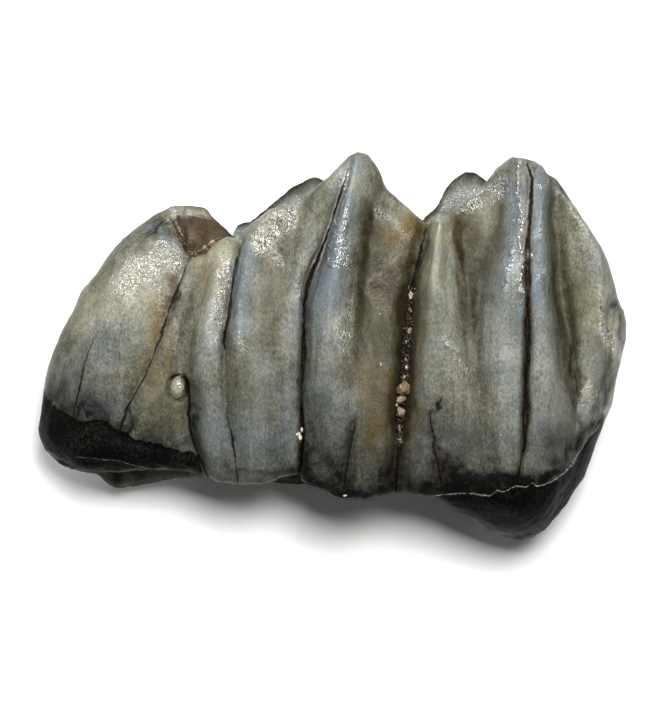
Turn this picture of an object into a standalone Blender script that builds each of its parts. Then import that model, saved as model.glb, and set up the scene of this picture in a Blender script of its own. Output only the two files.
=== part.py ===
# Fossil lower back molar of a deer, lying on its cheek side with the tongue side up.
#
# The length of the tooth runs along X, the back lobe at -X. +Y is the chewing edge and -Y
# the broken root end. Z = 0 is the surface that the tooth lies on.
# The crown is one closed loft: at each place along the length, a ring goes up the tongue
# wall, over the chewing surface, down the cheek wall and back under the hollow root end.
# Both walls are skinned through form lines, which follow the folds and crests of the tooth
# from the root end to the chewing edge. Lengths in the tables are millimetres.

import bmesh
import bpy
import numpy as np

MM = 0.001

# Driving dimensions, in millimetres
LENGTH = 21.5              # back end to front end
BACK_SEAM = 4.7            # height at which both walls meet at the back end
FRONT_SEAM = (4.5, 5.6)    # the same at the front end, at the root end and the chewing edge
BACK_ROUNDING = 4.6        # how far the tongue wall curves in at the back end
FRONT_ROUNDING = 0.9       # the same, front end
CHEEK_ROUNDING = 3.0       # how far the cheek wall curves in at both ends
CHEEK_ENDS = (3.2, 3.4)    # height of the cheek wall beside the back end and the front end
CHEWING_LIP = 0.35         # radius of the worn enamel lip
CHEEK_LIP = 0.55           # the same, cheek side
COLUMN_WIDTH = 0.25        # width of a column of faces where the wall is plain
LEAST_COLUMNS = 3          # columns of faces between two form lines that run close together
WALL_ROWS = 20             # rows of faces up each wall
TOP_ROWS = 7               # rows across the chewing surface
UNDER_ROWS = 5             # rows across the root end
COLUMN_EASE = 0.6          # how much closer together columns are beside a form line, 0 to 1
ROW_EASE = 0.55            # how much closer together rows are at both edges of a wall, 0 to 1

# Tongue side form lines: (x, y, height) from the root end to the chewing edge
TONGUE_LINES = {
    "back end": [
        (-10.51, -3.55, 8.0), (-10.73, -2.70, 8.0), (-10.69, -2.08, 8.0), (-10.40, -0.66, 8.0),
        (-9.81, 0.84, 7.8), (-9.23, 1.97, 7.6), (-8.35, 3.33, 7.3), (-7.47, 4.35, 6.9),
        (-6.89, 4.75, 6.6), (-6.52, 4.97, 6.4), (-6.05, 5.15, 6.2),
    ],
    "third lobe crest": [
        (-9.10, -4.39, 8.0), (-9.36, -3.40, 8.2), (-9.27, -2.13, 8.3), (-8.83, -0.69, 8.3),
        (-8.11, 1.48, 8.1), (-7.26, 3.11, 7.7), (-6.44, 4.17, 7.1), (-5.83, 4.69, 6.6),
    ],
    "third lobe crack": [
        (-7.79, -4.47, 7.7), (-7.74, -3.41, 7.7), (-7.65, -2.68, 7.7), (-7.18, -1.59, 7.7),
        (-6.53, -0.33, 7.7), (-6.06, 1.05, 7.6), (-5.66, 2.14, 7.5), (-5.16, 3.44, 7.2),
    ],
    "heel flat": [
        (-6.26, -4.35, 7.7), (-6.53, -3.22, 7.7), (-6.38, -1.77, 7.7), (-5.80, 0.22, 7.7),
        (-5.33, 1.84, 7.5), (-4.87, 3.51, 7.2),
    ],
    "heel step": [
        (-4.51, -4.60, 7.9), (-4.80, -3.87, 7.8), (-5.15, -2.86, 7.8), (-5.19, -1.77, 7.8),
        (-5.26, -0.87, 7.9), (-5.08, 0.58, 8.0), (-4.75, 2.02, 7.9), (-4.36, 3.80, 7.4),
    ],
    "heel column": [
        (-4.00, -4.76, 8.3), (-4.31, -3.75, 8.5), (-4.49, -2.13, 8.6), (-4.53, -0.32, 8.6),
        (-4.42, 1.48, 8.4), (-4.14, 2.93, 8.1), (-3.78, 4.09, 7.6),
    ],
    "heel crack": [
        (-3.42, -4.83, 8.4), (-3.52, -3.57, 8.5), (-3.84, -2.31, 8.5), (-3.91, -0.87, 8.5),
        (-3.88, 0.40, 8.4), (-3.66, 1.84, 8.2), (-3.49, 3.11, 8.0), (-3.31, 3.76, 7.7),
    ],
    "wing crest": [
        (-2.91, -4.82, 8.7), (-2.97, -3.21, 8.8), (-3.26, -1.40, 8.9), (-3.37, 0.40, 8.9),
        (-3.30, 1.84, 8.7), (-3.08, 3.28, 8.4), (-2.87, 4.62, 8.0),
    ],
    "wing hollow": [
        (-2.11, -4.73, 8.7), (-2.18, -3.21, 8.75), (-2.32, -1.40, 8.8), (-2.39, 0.40, 8.75),
        (-2.22, 1.84, 8.55), (-1.93, 3.28, 8.3), (-1.61, 5.27, 8.0),
    ],
    "wing shoulder": [
        (-1.61, -4.55, 8.9), (-1.64, -3.21, 9.0), (-1.60, -1.40, 9.1), (-1.60, 0.40, 9.1),
        (-1.46, 1.84, 9.0), (-1.10, 3.28, 8.8), (-0.52, 5.99, 8.3),
    ],
    "entoconid fissure": [
        (-1.17, -4.48, 9.0), (-1.10, -3.21, 9.1), (-1.12, -1.76, 9.1), (-1.04, 0.04, 9.05),
        (-0.99, 1.66, 8.9), (-0.74, 2.84, 8.7), (-0.27, 4.00, 8.6), (0.16, 5.26, 8.4),
        (0.52, 6.46, 8.3), (0.63, 7.04, 8.2),
    ],
    "entoconid crest": [
        (0.34, -5.27, 9.6), (0.09, -3.56, 9.8), (-0.09, -1.76, 9.9), (-0.16, 0.04, 9.9),
        (-0.05, 1.83, 9.8), (0.16, 3.27, 9.6), (0.41, 4.71, 9.3), (0.70, 5.98, 8.9),
        (0.96, 7.22, 8.3),
    ],
    "entoconid flank": [
        (1.17, -5.30, 9.5), (1.06, -3.56, 9.5), (0.99, -1.76, 9.45), (0.95, 0.04, 9.25),
        (1.06, 1.83, 8.95), (1.21, 3.28, 8.7), (1.39, 4.72, 8.4), (1.60, 5.81, 8.2),
        (1.75, 6.39, 8.1),
    ],
    "brown wing": [
        (1.82, -5.20, 9.3), (1.85, -3.56, 9.3), (1.89, -1.76, 9.25), (1.92, 0.04, 9.0),
        (2.03, 1.84, 8.6), (2.25, 3.28, 8.3), (2.43, 4.54, 8.05), (2.65, 5.20, 8.0),
    ],
    "middle groove": [
        (2.29, -5.13, 9.1), (2.36, -3.75, 9.1), (2.50, -2.48, 9.0), (2.54, -1.40, 8.9),
        (2.65, 0.04, 8.6), (2.76, 1.66, 8.3), (2.97, 2.74, 8.1), (3.19, 3.64, 7.95),
        (3.41, 4.59, 7.8),
    ],
    "metastylid": [
        (3.34, -5.27, 9.6), (3.40, -3.56, 9.7), (3.43, -1.76, 9.7), (3.50, 0.04, 9.6),
        (3.61, 1.83, 9.5), (3.72, 3.27, 9.2), (3.80, 4.18, 8.9), (3.88, 4.95, 8.5),
    ],
    "wall": [
        (4.33, -5.72, 9.5), (4.51, -3.56, 9.6), (4.47, -1.76, 9.6), (4.37, 0.04, 9.45),
        (4.30, 1.83, 9.1), (4.23, 3.27, 8.7), (4.23, 4.18, 8.4), (4.35, 5.12, 8.2),
    ],
    "wall valley": [
        (4.99, -6.10, 9.5), (5.30, -3.56, 9.5), (5.19, -1.76, 9.4), (4.98, 0.04, 9.1),
        (4.84, 1.48, 8.6), (4.78, 2.92, 8.2), (4.81, 4.18, 8.0), (5.11, 5.67, 8.0),
    ],
    "metaconid crest": [
        (5.81, -6.52, 9.5), (6.13, -4.28, 9.7), (6.15, -2.48, 9.9), (6.15, -0.68, 10.0),
        (6.19, 1.11, 9.9), (6.37, 2.55, 9.8), (6.63, 3.99, 9.5), (6.75, 5.61, 9.1),
        (6.55, 7.00, 8.5),
    ],
    "metaconid fissure": [
        (6.41, -6.68, 9.5), (6.64, -4.64, 9.7), (6.88, -3.38, 9.8), (6.94, -1.76, 9.9),
        (6.98, 0.04, 9.9), (7.01, 1.83, 9.9), (7.02, 3.63, 9.7), (7.14, 5.43, 9.3),
        (7.16, 6.89, 8.7),
    ],
    "front crest": [
        (7.06, -6.68, 9.2), (7.39, -4.64, 9.5), (7.67, -2.84, 9.7), (7.70, -1.04, 9.8),
        (7.59, 1.11, 9.8), (7.52, 3.27, 9.6), (7.50, 5.43, 9.2), (7.59, 6.74, 8.6),
    ],
    "front valley": [
        (7.75, -6.46, 8.2), (8.44, -4.37, 8.5), (8.71, -3.21, 8.5), (8.84, -1.77, 8.4),
        (8.63, 0.04, 8.4), (8.34, 1.84, 8.3), (8.16, 3.64, 8.2), (8.10, 5.09, 8.1),
        (8.18, 6.17, 8.0),
    ],
    "front ridge": [
        (7.97, -6.04, 7.8), (8.88, -3.57, 8.2), (9.43, -2.13, 8.5), (9.71, -0.68, 8.7),
        (9.82, 0.58, 8.8), (9.82, 1.84, 8.8), (9.75, 2.74, 8.7), (9.61, 3.53, 8.6),
        (9.36, 4.29, 8.4),
    ],
    "edge furrow": [
        (8.24, -5.83, 7.5), (9.24, -3.08, 7.7), (9.60, -2.06, 7.9), (9.85, -0.90, 8.0),
        (9.99, 0.22, 8.0), (10.14, 1.12, 7.9), (10.21, 1.66, 7.9), (10.25, 2.13, 8.1),
    ],
    "parastylid": [
        (8.32, -5.76, 7.2), (9.40, -3.15, 7.6), (9.79, -2.06, 7.8), (10.11, -0.76, 8.0),
        (10.33, 0.22, 8.1), (10.44, 0.83, 8.0), (10.42, 1.34, 7.8), (10.33, 1.74, 7.6),
    ],
    "front end": [
        (8.43, -5.74, 7.0), (8.87, -5.12, 7.2), (9.24, -4.57, 7.3), (9.71, -3.15, 7.4),
        (10.22, -1.86, 7.7), (10.50, -0.55, 7.9), (10.66, 0.07, 7.9), (10.75, 0.58, 7.8),
        (10.73, 1.02, 7.7), (10.64, 1.39, 7.6), (10.54, 1.53, 7.5), (10.41, 1.64, 7.4),
    ],
}

# Cheek side form lines. A height below zero is flattened where the tooth rests.
CHEEK_LINES = {
    "outer flank": [
        (-9.14, -4.41, 3.0), (-9.44, -3.28, 2.6), (-9.16, -1.07, 2.4), (-8.20, 1.51, 2.4),
        (-6.71, 4.08, 2.9), (-5.77, 5.24, 3.8),
    ],
    "third lobe": [
        (-7.14, -4.98, 1.5), (-7.27, -3.29, 1.1), (-6.90, -1.07, 1.1), (-6.26, 1.52, 1.4),
        (-5.55, 4.09, 2.2), (-5.17, 5.29, 2.9),
    ],
    "heel furrow": [
        (-4.86, -4.51, 3.5), (-4.76, -3.27, 3.3), (-4.61, -1.07, 3.3), (-4.35, 1.51, 3.4),
        (-3.84, 3.71, 3.5), (-3.61, 4.18, 3.7),
    ],
    "hypoconid": [
        (-1.58, -4.97, -0.25), (-1.58, -3.31, -0.25), (-1.51, -1.08, -0.25),
        (-1.32, 1.52, -0.15), (-1.02, 3.75, 0.4), (-0.72, 6.39, 1.6),
    ],
    "median furrow": [
        (1.74, -4.92, 3.2), (1.85, -3.27, 3.3), (1.96, -1.06, 3.4), (2.11, 1.50, 3.4),
        (2.26, 2.97, 3.5), (2.33, 3.96, 3.7),
    ],
    "protoconid": [
        (5.27, -6.17, -0.1), (5.26, -3.68, -0.25), (5.19, -1.08, -0.25), (5.11, 1.52, -0.15),
        (5.10, 3.75, 0.4), (5.08, 6.64, 1.6),
    ],
    "front flank": [
        (7.33, -6.54, 2.8), (7.90, -3.65, 2.5), (8.23, -1.07, 2.4), (8.38, 1.20, 2.6),
        (8.28, 2.60, 3.0), (8.10, 3.98, 3.6),
    ],
}

# Outlines seen from above, between the two ends of the tooth
TONGUE_RIM = [
    (-5.76, 4.51), (-5.47, 3.97), (-5.14, 3.47), (-4.68, 3.50), (-4.35, 3.79), (-3.77, 4.12),
    (-3.48, 3.99), (-3.30, 3.75), (-3.16, 4.22), (-2.94, 4.60), (-2.62, 4.82), (-2.18, 5.13),
    (-1.32, 5.34), (-0.96, 5.58), (-0.60, 5.94), (0.09, 6.52), (0.42, 6.88), (0.67, 7.11),
    (0.96, 7.22), (1.25, 7.15), (1.50, 6.86), (1.71, 6.46), (1.86, 6.03), (2.33, 5.58),
    (2.98, 4.96), (3.30, 4.73), (3.45, 4.57), (3.63, 4.87), (3.84, 4.97), (4.10, 4.95),
    (4.82, 5.49), (5.18, 5.76), (5.69, 6.30), (5.90, 6.61), (6.16, 6.81), (6.52, 7.00),
    (6.91, 6.95), (7.56, 6.77), (7.85, 6.43), (8.12, 6.26), (8.29, 6.03), (8.59, 5.52),
    (8.94, 4.93), (9.38, 4.30), (9.70, 3.83), (9.99, 3.22), (10.17, 2.60), (10.30, 1.90),
]
CHEEK_RIM = [
    (-5.78, 5.30), (-5.26, 5.32), (-4.71, 5.26), (-4.30, 4.84), (-3.93, 4.50), (-3.64, 4.21),
    (-3.49, 4.62), (-2.97, 4.80), (-2.31, 5.32), (-1.50, 6.04), (-1.02, 6.31), (-0.72, 6.41),
    (-0.42, 6.33), (0.09, 5.94), (0.83, 5.21), (1.57, 4.47), (2.31, 3.99), (2.79, 4.17),
    (3.38, 4.84), (3.86, 5.46), (4.26, 6.06), (4.63, 6.42), (4.93, 6.63), (5.22, 6.63),
    (5.62, 6.32), (6.17, 5.82), (6.91, 5.12), (7.83, 4.24), (8.75, 3.35), (9.67, 2.47),
]
TONGUE_BASE = [
    (-10.06, -3.87), (-9.74, -4.08), (-9.05, -4.37), (-8.44, -4.41), (-6.59, -4.34),
    (-5.87, -4.34), (-4.79, -4.52), (-3.99, -4.75), (-3.41, -4.82), (-2.55, -4.81),
    (-2.11, -4.70), (-1.82, -4.53), (-1.21, -4.43), (-1.07, -4.66), (-0.81, -4.90),
    (-0.27, -5.09), (0.45, -5.31), (1.07, -5.37), (1.90, -5.18), (2.29, -5.09), (2.98, -5.24),
    (3.74, -5.35), (4.25, -5.67), (5.15, -6.16), (6.16, -6.62), (6.66, -6.70), (7.21, -6.65),
    (7.61, -6.54), (7.98, -6.24),
]
CHEEK_BASE = [
    (-10.07, -4.05), (-9.33, -4.40), (-8.63, -4.55), (-8.37, -4.77), (-7.85, -4.99),
    (-7.15, -5.01), (-6.26, -4.77), (-5.45, -4.66), (-4.90, -4.55), (-4.08, -4.55),
    (-3.05, -4.66), (-1.94, -4.90), (0.46, -4.95), (1.76, -4.95), (2.86, -5.03),
    (3.83, -5.32), (4.79, -5.88), (5.82, -6.47), (6.75, -6.69), (7.71, -6.40),
]

# How the tongue wall turns under at the root end: (x, radius, share of its height lost)
ROOT_TURN = [
    (-10.5, 1.0, 0.50), (-8.0, 1.0, 0.48), (-4.8, 0.7, 0.30), (-3.5, 0.9, 0.24),
    (-1.2, 0.6, 0.13), (0.5, 1.0, 0.20), (2.3, 0.8, 0.17), (3.6, 1.0, 0.28),
    (5.0, 1.5, 0.70), (6.5, 1.9, 0.90), (8.4, 1.9, 0.90),
]
# How deep the chewing surface sinks between both rims: (x at the rim, depth)
FOSSETTES = [
    (-6.0, 0.0), (-5.0, 0.35), (-3.7, 0.9), (-2.6, 1.7), (-0.8, 3.0), (0.6, 2.8), (2.2, 1.6),
    (3.1, 1.1), (4.2, 1.9), (5.4, 3.1), (6.8, 3.0), (8.2, 1.3), (9.3, 0.2),
]
# How far the root end is hollowed: (x at the root end, depth)
ROOT_HOLLOW = [
    (-10.3, 0.0), (-8.8, 0.6), (-7.2, 1.3), (-5.4, 0.9), (-4.2, 0.8), (-2.4, 1.7), (-0.6, 1.8),
    (1.2, 1.5), (2.8, 0.9), (4.4, 0.2), (5.6, -0.15), (7.4, -0.2), (8.3, 0.0),
]
# Narrow folds of the tongue wall: (form line, half width, depth at the root end, middle, rim)
FOLDS = [
    ("third lobe crack", 0.16, 0.15, 0.25, 0.25),
    ("heel step", 0.18, 0.25, 0.22, 0.05),
    ("heel crack", 0.15, 0.08, 0.22, 0.40),
    ("entoconid fissure", 0.18, 0.65, 0.70, 0.25),
    ("middle groove", 0.34, 0.40, 0.95, 0.35),
    ("metaconid fissure", 0.18, 0.40, 0.70, 0.40),
    ("front valley", 0.22, 0.05, 0.22, 0.05),
    ("edge furrow", 0.10, 0.10, 0.20, 0.10),
]
# Small knobs: (x, y, half width, half length, height)
ENAMEL_PEARL = (-5.62, -1.30, 0.28, 0.36, 0.30)
BASAL_PILLAR = (1.86, -3.60, 0.55, 1.50, 1.30)
# The sand that filled the middle groove: reach up the wall, half width and thickness
SAND_FROM = 0.17
SAND_TO = 0.66
SAND_HALF_WIDTH = 0.30
SAND_THICKNESS = 0.40
SAND_CLUMP = (0.3, 0.22)   # place and half length of its thickest stretch, shares of its length
SAND_THIN = 0.55           # thickness away from that stretch, share of the full thickness
SAND_GAP = 0.03

ENAMEL = ((0.27, 0.27, 0.22, 1.0), 0.30, 0.0)
SAND = ((0.42, 0.30, 0.16, 1.0), 0.85, 0.0)


def flow(at, knots, values):
    """Smooth curve through the knots that never overshoots them (monotone cubic)."""
    at = np.asarray(at, float)
    knots = np.asarray(knots, float)
    values = np.asarray(values, float)
    if values.ndim == 1:
        return flow(at, knots, values[:, None])[:, 0]
    gap = np.diff(knots)[:, None]
    rise = np.diff(values, axis=0) / gap
    product = rise[:-1] * rise[1:]
    total = rise[:-1] + rise[1:]
    total = np.where(np.abs(total) < 1e-12, 1.0, total)
    middle = np.where(product > 0.0, 2.0 * product / total, 0.0)
    slope = np.vstack([rise[:1], middle, rise[-1:]])
    k = np.clip(np.searchsorted(knots, at, side="right") - 1, 0, len(knots) - 2)
    step = gap[k]
    t = np.clip((at - knots[k])[:, None] / step, 0.0, 1.0)
    rest = 1.0 - t
    start = values[k] * (1.0 + 2.0 * t) * rest ** 2 + slope[k] * step * t * rest ** 2
    end = values[k + 1] * (3.0 - 2.0 * t) * t ** 2 - slope[k + 1] * step * rest * t ** 2
    return start + end


def quarter_round(t):
    """Quarter circle that climbs from 0 at t = 0 to 1 at t = 1, and stays there."""
    t = np.clip(t, 0.0, 1.0)
    return np.sqrt(1.0 - (1.0 - t) ** 2)


def bell(distance, half_width):
    """Soft groove profile, 1 in its middle and near 0 two half widths away."""
    return np.exp(-(distance / half_width) ** 2)


def knob(x, y, place):
    """Height of a rounded knob over the wall that it grows from."""
    at_x, at_y, half_width, half_length, height = place
    return height * bell(x - at_x, half_width) * bell(y - at_y, half_length)


def line_at(line, v):
    """x and height of one form line at the shares v of the way up the wall."""
    points = np.array(line)
    share = (points[:, 1] - points[0, 1]) / (points[-1, 1] - points[0, 1])
    return flow(v, share, points[:, [0, 2]]).T


def line_places(lines):
    """Share of the way along the tooth at which each form line stands, 0 to 1."""
    mean_x = np.array([line_at(line, [0.0, 0.5, 1.0])[0].mean() for line in lines.values()])
    return (mean_x - mean_x[0]) / (mean_x[-1] - mean_x[0])


def skin(lines, rim, base, s, v):
    """Wall skinned through form lines. Returns x, y, height and where each line runs."""
    ends = [lines["back end"], lines["front end"]]
    runs = {name: line_at(line, v) for name, line in lines.items()}
    places = line_places(lines)
    x = flow(s, places, np.array([run[0] for run in runs.values()]))
    z = flow(s, places, np.array([run[1] for run in runs.values()]))
    rim = [ends[0][-1][:2], *rim, ends[1][-1][:2]]
    base = [ends[0][0][:2], *base, ends[1][0][:2]]
    y_rim = flow(x[:, -1], *np.array(rim).T)[:, None]
    y_base = flow(x[:, 0], *np.array(base).T)[:, None]
    y = y_base + (y_rim - y_base) * v
    return x, y, z, runs


def tongue_wall(s, v):
    """The folded wall that faces up."""
    x, y, z, runs = skin(TONGUE_LINES, TONGUE_RIM, TONGUE_BASE, s, v)
    for name, half_width, at_base, at_middle, at_rim in FOLDS:
        depth = flow(v, [0.0, 0.5, 1.0], [at_base, at_middle, at_rim])
        z -= depth * bell(x - runs[name][0], half_width)
    radius, share = flow(x[:, 0], [row[0] for row in ROOT_TURN], [row[1:] for row in ROOT_TURN]).T
    above_base = y - y[:, :1]
    below_rim = y[:, -1:] - y
    turned = share[:, None] * (1.0 - quarter_round(above_base / radius[:, None]))
    z = BACK_SEAM + (z - BACK_SEAM) * (1.0 - turned)
    z -= CHEWING_LIP * (1.0 - quarter_round(below_rim / CHEWING_LIP))
    z += knob(x, y, ENAMEL_PEARL)
    return close_ends(x, y, z, v, BACK_ROUNDING, FRONT_ROUNDING)


def cheek_wall(s, v):
    """The lobed wall that the tooth lies on."""
    first, last = TONGUE_LINES["back end"], TONGUE_LINES["front end"]
    lines = {"back end": [(x, y, CHEEK_ENDS[0]) for x, y, z in first]}
    lines.update(CHEEK_LINES)
    lines["front end"] = [(x, y, CHEEK_ENDS[1]) for x, y, z in last]
    x, y, z, runs = skin(lines, CHEEK_RIM, CHEEK_BASE, s, v)
    z += CHEEK_LIP * (1.0 - quarter_round((y[:, -1:] - y) / CHEEK_LIP))
    z += CHEEK_LIP * (1.0 - quarter_round((y - y[:, :1]) / CHEEK_LIP))
    z -= knob(x, y, BASAL_PILLAR)
    z = np.maximum(z, 0.0)
    return close_ends(x, y, z, v, CHEEK_ROUNDING, CHEEK_ROUNDING)


def close_ends(x, y, z, v, at_back, at_front):
    """Curves a wall in to the seam with the other wall at both ends of the tooth."""
    back = quarter_round((x - x[:1]) / at_back)
    front = quarter_round((x[-1:] - x) / at_front)
    front_seam = FRONT_SEAM[0] + (FRONT_SEAM[1] - FRONT_SEAM[0]) * v ** 3
    z = BACK_SEAM + (z - BACK_SEAM) * back
    z = front_seam + (z - front_seam) * front
    return np.stack([x, y, z], axis=-1)


def bridge(start, end, sink, rows):
    """Surface from one edge to the other that sinks along Y between them."""
    u = np.linspace(0.0, 1.0, rows + 1)[1:-1, None]
    flat = start[:, None] + (end - start)[:, None] * u
    flat[:, :, 1] += sink[:, None] * np.sin(np.pi * u[:, 0]) ** 1.1
    return flat


def column_places():
    """Places of the columns of faces, closer together beside each form line."""
    knots = line_places(TONGUE_LINES) * LENGTH
    places = []
    for start, end in zip(knots[:-1], knots[1:]):
        count = max(LEAST_COLUMNS, round((end - start) / COLUMN_WIDTH))
        steps = np.arange(count) / count
        eased = steps - COLUMN_EASE * np.sin(2.0 * np.pi * steps) / (2.0 * np.pi)
        places.extend(start + (end - start) * eased)
    return np.append(places, LENGTH) / LENGTH


def wall_places():
    """Heights of the rows of faces, closer together where the wall turns at its edges."""
    t = np.linspace(0.0, 1.0, WALL_ROWS + 1)
    return t - ROW_EASE * np.sin(2.0 * np.pi * t) / (2.0 * np.pi)


def crown_rings(s, v):
    """One ring of points for each column, all the way round the tooth."""
    tongue = tongue_wall(s, v)
    cheek = cheek_wall(s, v)
    chewing = -flow(tongue[:, -1, 0], *np.array(FOSSETTES).T)
    hollow = flow(tongue[:, 0, 0], *np.array(ROOT_HOLLOW).T)
    top = bridge(tongue[:, -1], cheek[:, -1], chewing, TOP_ROWS)
    under = bridge(cheek[:, 0], tongue[:, 0], hollow, UNDER_ROWS)
    return np.concatenate([tongue, top, cheek[:, ::-1], under], axis=1)


def grid_triangles(columns, rows, wrap):
    """Two triangles for each cell of a grid whose points are numbered column by column."""
    across = np.arange(columns - 1)
    along = np.arange(rows if wrap else rows - 1)
    i, j = np.meshgrid(across, along, indexing="ij")
    up = (j + 1) % rows
    corner = i * rows + j
    across_corner = corner + rows
    far = (i + 1) * rows + up
    near_up = i * rows + up
    lower = np.stack([corner, across_corner, far], axis=-1)
    upper = np.stack([corner, far, near_up], axis=-1)
    return np.concatenate([lower.reshape(-1, 3), upper.reshape(-1, 3)])


def sand_body(s, v, tongue):
    """Strip of cemented sand that lies in the middle groove, with a small gap under it."""
    run = line_at(TONGUE_LINES["middle groove"], v)[0]
    rows = np.flatnonzero((v > SAND_FROM) & (v < SAND_TO))
    nearest = np.argmin(np.abs(tongue[:, len(v) // 2, 0] - run[len(v) // 2]))
    columns = np.arange(nearest - 2, nearest + 2)
    bed = tongue[np.ix_(columns, rows)]
    offset = (bed[..., 0] - run[rows]) / SAND_HALF_WIDTH
    along = np.linspace(0.0, 1.0, len(rows))
    clump = SAND_THIN + (1.0 - SAND_THIN) * bell(along - SAND_CLUMP[0], SAND_CLUMP[1])
    fill = SAND_THICKNESS * clump * np.sin(np.pi * np.clip(along, 0.06, 0.94)) ** 0.4
    fill = fill * np.clip(1.15 - np.abs(offset) ** 1.5, 0.12, 1.0)
    lower = bed + np.array([0.0, 0.0, SAND_GAP])
    upper = lower.copy()
    upper[..., 2] += fill
    return lower, upper


def closed_slab(lower, upper):
    """Points and triangles of a thin body between two matching grids."""
    columns, rows = lower.shape[:2]
    count = columns * rows
    top = grid_triangles(columns, rows, False) + count
    bottom = grid_triangles(columns, rows, False)[:, ::-1]
    index = np.arange(count).reshape(columns, rows)
    edge = np.concatenate([index[:, 0], index[-1, 1:], index[-2::-1, -1], index[0, -2:0:-1]])
    after = np.roll(edge, -1)
    first = np.stack([edge, after, after + count], axis=-1)
    second = np.stack([edge, after + count, edge + count], axis=-1)
    points = np.concatenate([lower.reshape(-1, 3), upper.reshape(-1, 3)])
    return points, np.concatenate([top, bottom, first, second])


def solid(name, points, triangles, finish, collection):
    """Closed mesh object with its own material, shaded smooth."""
    color, roughness, metallic = finish
    mesh = bpy.data.meshes.new(name)
    mesh.from_pydata((points * MM).tolist(), [], triangles.tolist())
    work = bmesh.new()
    work.from_mesh(mesh)
    bmesh.ops.remove_doubles(work, verts=work.verts, dist=1e-7)
    work.to_mesh(mesh)
    work.free()
    mesh.shade_smooth()
    material = bpy.data.materials.new(name)
    material.use_nodes = True
    shader = material.node_tree.nodes["Principled BSDF"]
    shader.inputs["Base Color"].default_value = color
    shader.inputs["Roughness"].default_value = roughness
    shader.inputs["Metallic"].default_value = metallic
    mesh.materials.append(material)
    item = bpy.data.objects.new(name, mesh)
    collection.objects.link(item)
    return item


def main():
    for item in list(bpy.data.objects):
        bpy.data.objects.remove(item, do_unlink=True)
    collection = bpy.data.collections.new("fossil_deer_tooth")
    bpy.context.scene.collection.children.link(collection)

    s = column_places()
    v = wall_places()
    rings = crown_rings(s, v)
    corner_low = rings.min(axis=(0, 1))
    corner_high = rings.max(axis=(0, 1))
    origin = (corner_low + corner_high) / 2.0
    origin[2] = 0.0
    triangles = grid_triangles(rings.shape[0], rings.shape[1], True)
    solid("tooth", rings.reshape(-1, 3) - origin, triangles, ENAMEL, collection)

    points, faces = closed_slab(*sand_body(s, v, rings[:, :len(v)]))
    solid("groove_sediment", points - origin, faces, SAND, collection)


main()
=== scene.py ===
# Looks of a fossil deer molar, built around its CAD frame.
# The tooth lies on its cheek side, with its folded tongue side up.
import bmesh
import bpy
import numpy as np
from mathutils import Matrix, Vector
from mathutils.bvhtree import BVHTree


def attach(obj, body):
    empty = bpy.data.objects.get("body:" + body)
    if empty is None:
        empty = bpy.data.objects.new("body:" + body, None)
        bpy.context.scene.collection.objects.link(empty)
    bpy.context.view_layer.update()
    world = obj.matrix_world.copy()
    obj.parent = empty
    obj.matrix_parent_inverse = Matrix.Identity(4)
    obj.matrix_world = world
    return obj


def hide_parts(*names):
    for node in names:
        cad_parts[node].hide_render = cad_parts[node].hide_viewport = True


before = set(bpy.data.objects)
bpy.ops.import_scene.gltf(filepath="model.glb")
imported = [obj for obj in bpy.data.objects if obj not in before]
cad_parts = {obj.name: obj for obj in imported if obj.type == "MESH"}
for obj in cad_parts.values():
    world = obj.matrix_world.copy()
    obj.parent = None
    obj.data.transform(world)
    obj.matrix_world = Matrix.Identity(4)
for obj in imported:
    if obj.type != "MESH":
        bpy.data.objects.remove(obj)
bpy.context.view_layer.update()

print("frame loaded")

# Every table is in millimetres: x along the row of lobes, y towards the chewing edge, and
# height above the table. The middle of the photograph is x = 0, y = 0.
mm = 0.001
tableMiddle = np.array([0.0095, 0.1742, 0.0])     # the CAD frame's origin in those tables
tiny = 1e-12
weldDistance = 1e-5
waveCount = 40
lengthSpread = (0.7, 1.5)         # wave lengths beside the given one
threeHeights = (0.0, 0.5, 1.0)    # root end, middle and chewing edge of a wall


# the tooth

toothForm = {
    "columns": 420,             # columns of faces from the back end to the front end
    "tongueRows": 152,          # rows of faces up the tongue wall
    "cheekStep": 4,             # one cheek row for this many tongue rows
    "topRows": 26,              # rows across the chewing surface
    "underRows": 14,            # rows across the root end
    "length": 21.5,
    "backSeam": 4.7,            # height at which both walls meet at the back end
    "frontSeam": (4.5, 5.6),    # the same at the front end, root end and chewing edge
    "backRounding": 4.6,        # how far the tongue wall curves in at the back end
    "frontRounding": 0.9,
    "cheekRounding": 3.0,
    "cheekEnds": (3.2, 3.4),    # height of the cheek wall beside the back and front ends
    "chewingLip": 0.35,         # radius of the worn lip of enamel
    "cheekLip": 0.55,
    "bridgeHump": 1.1,          # power of the sine that hollows the chewing surface
    "crackCrowding": 2.2,       # how many more columns run beside a crack
    "crackReach": 0.15,
    "fineSteps": 8001,          # steps along the tooth in which columns are shared out
}
hollowForm = {
    "away": (-0.8, -0.56, -0.36, 0.36, 0.56, 0.8),      # where beside a point the wall is read
    "atBack": (0.3, 1.0),       # from where to where, from each end, hollows start to count
    "atFront": (0.1, 0.6),
}

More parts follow.
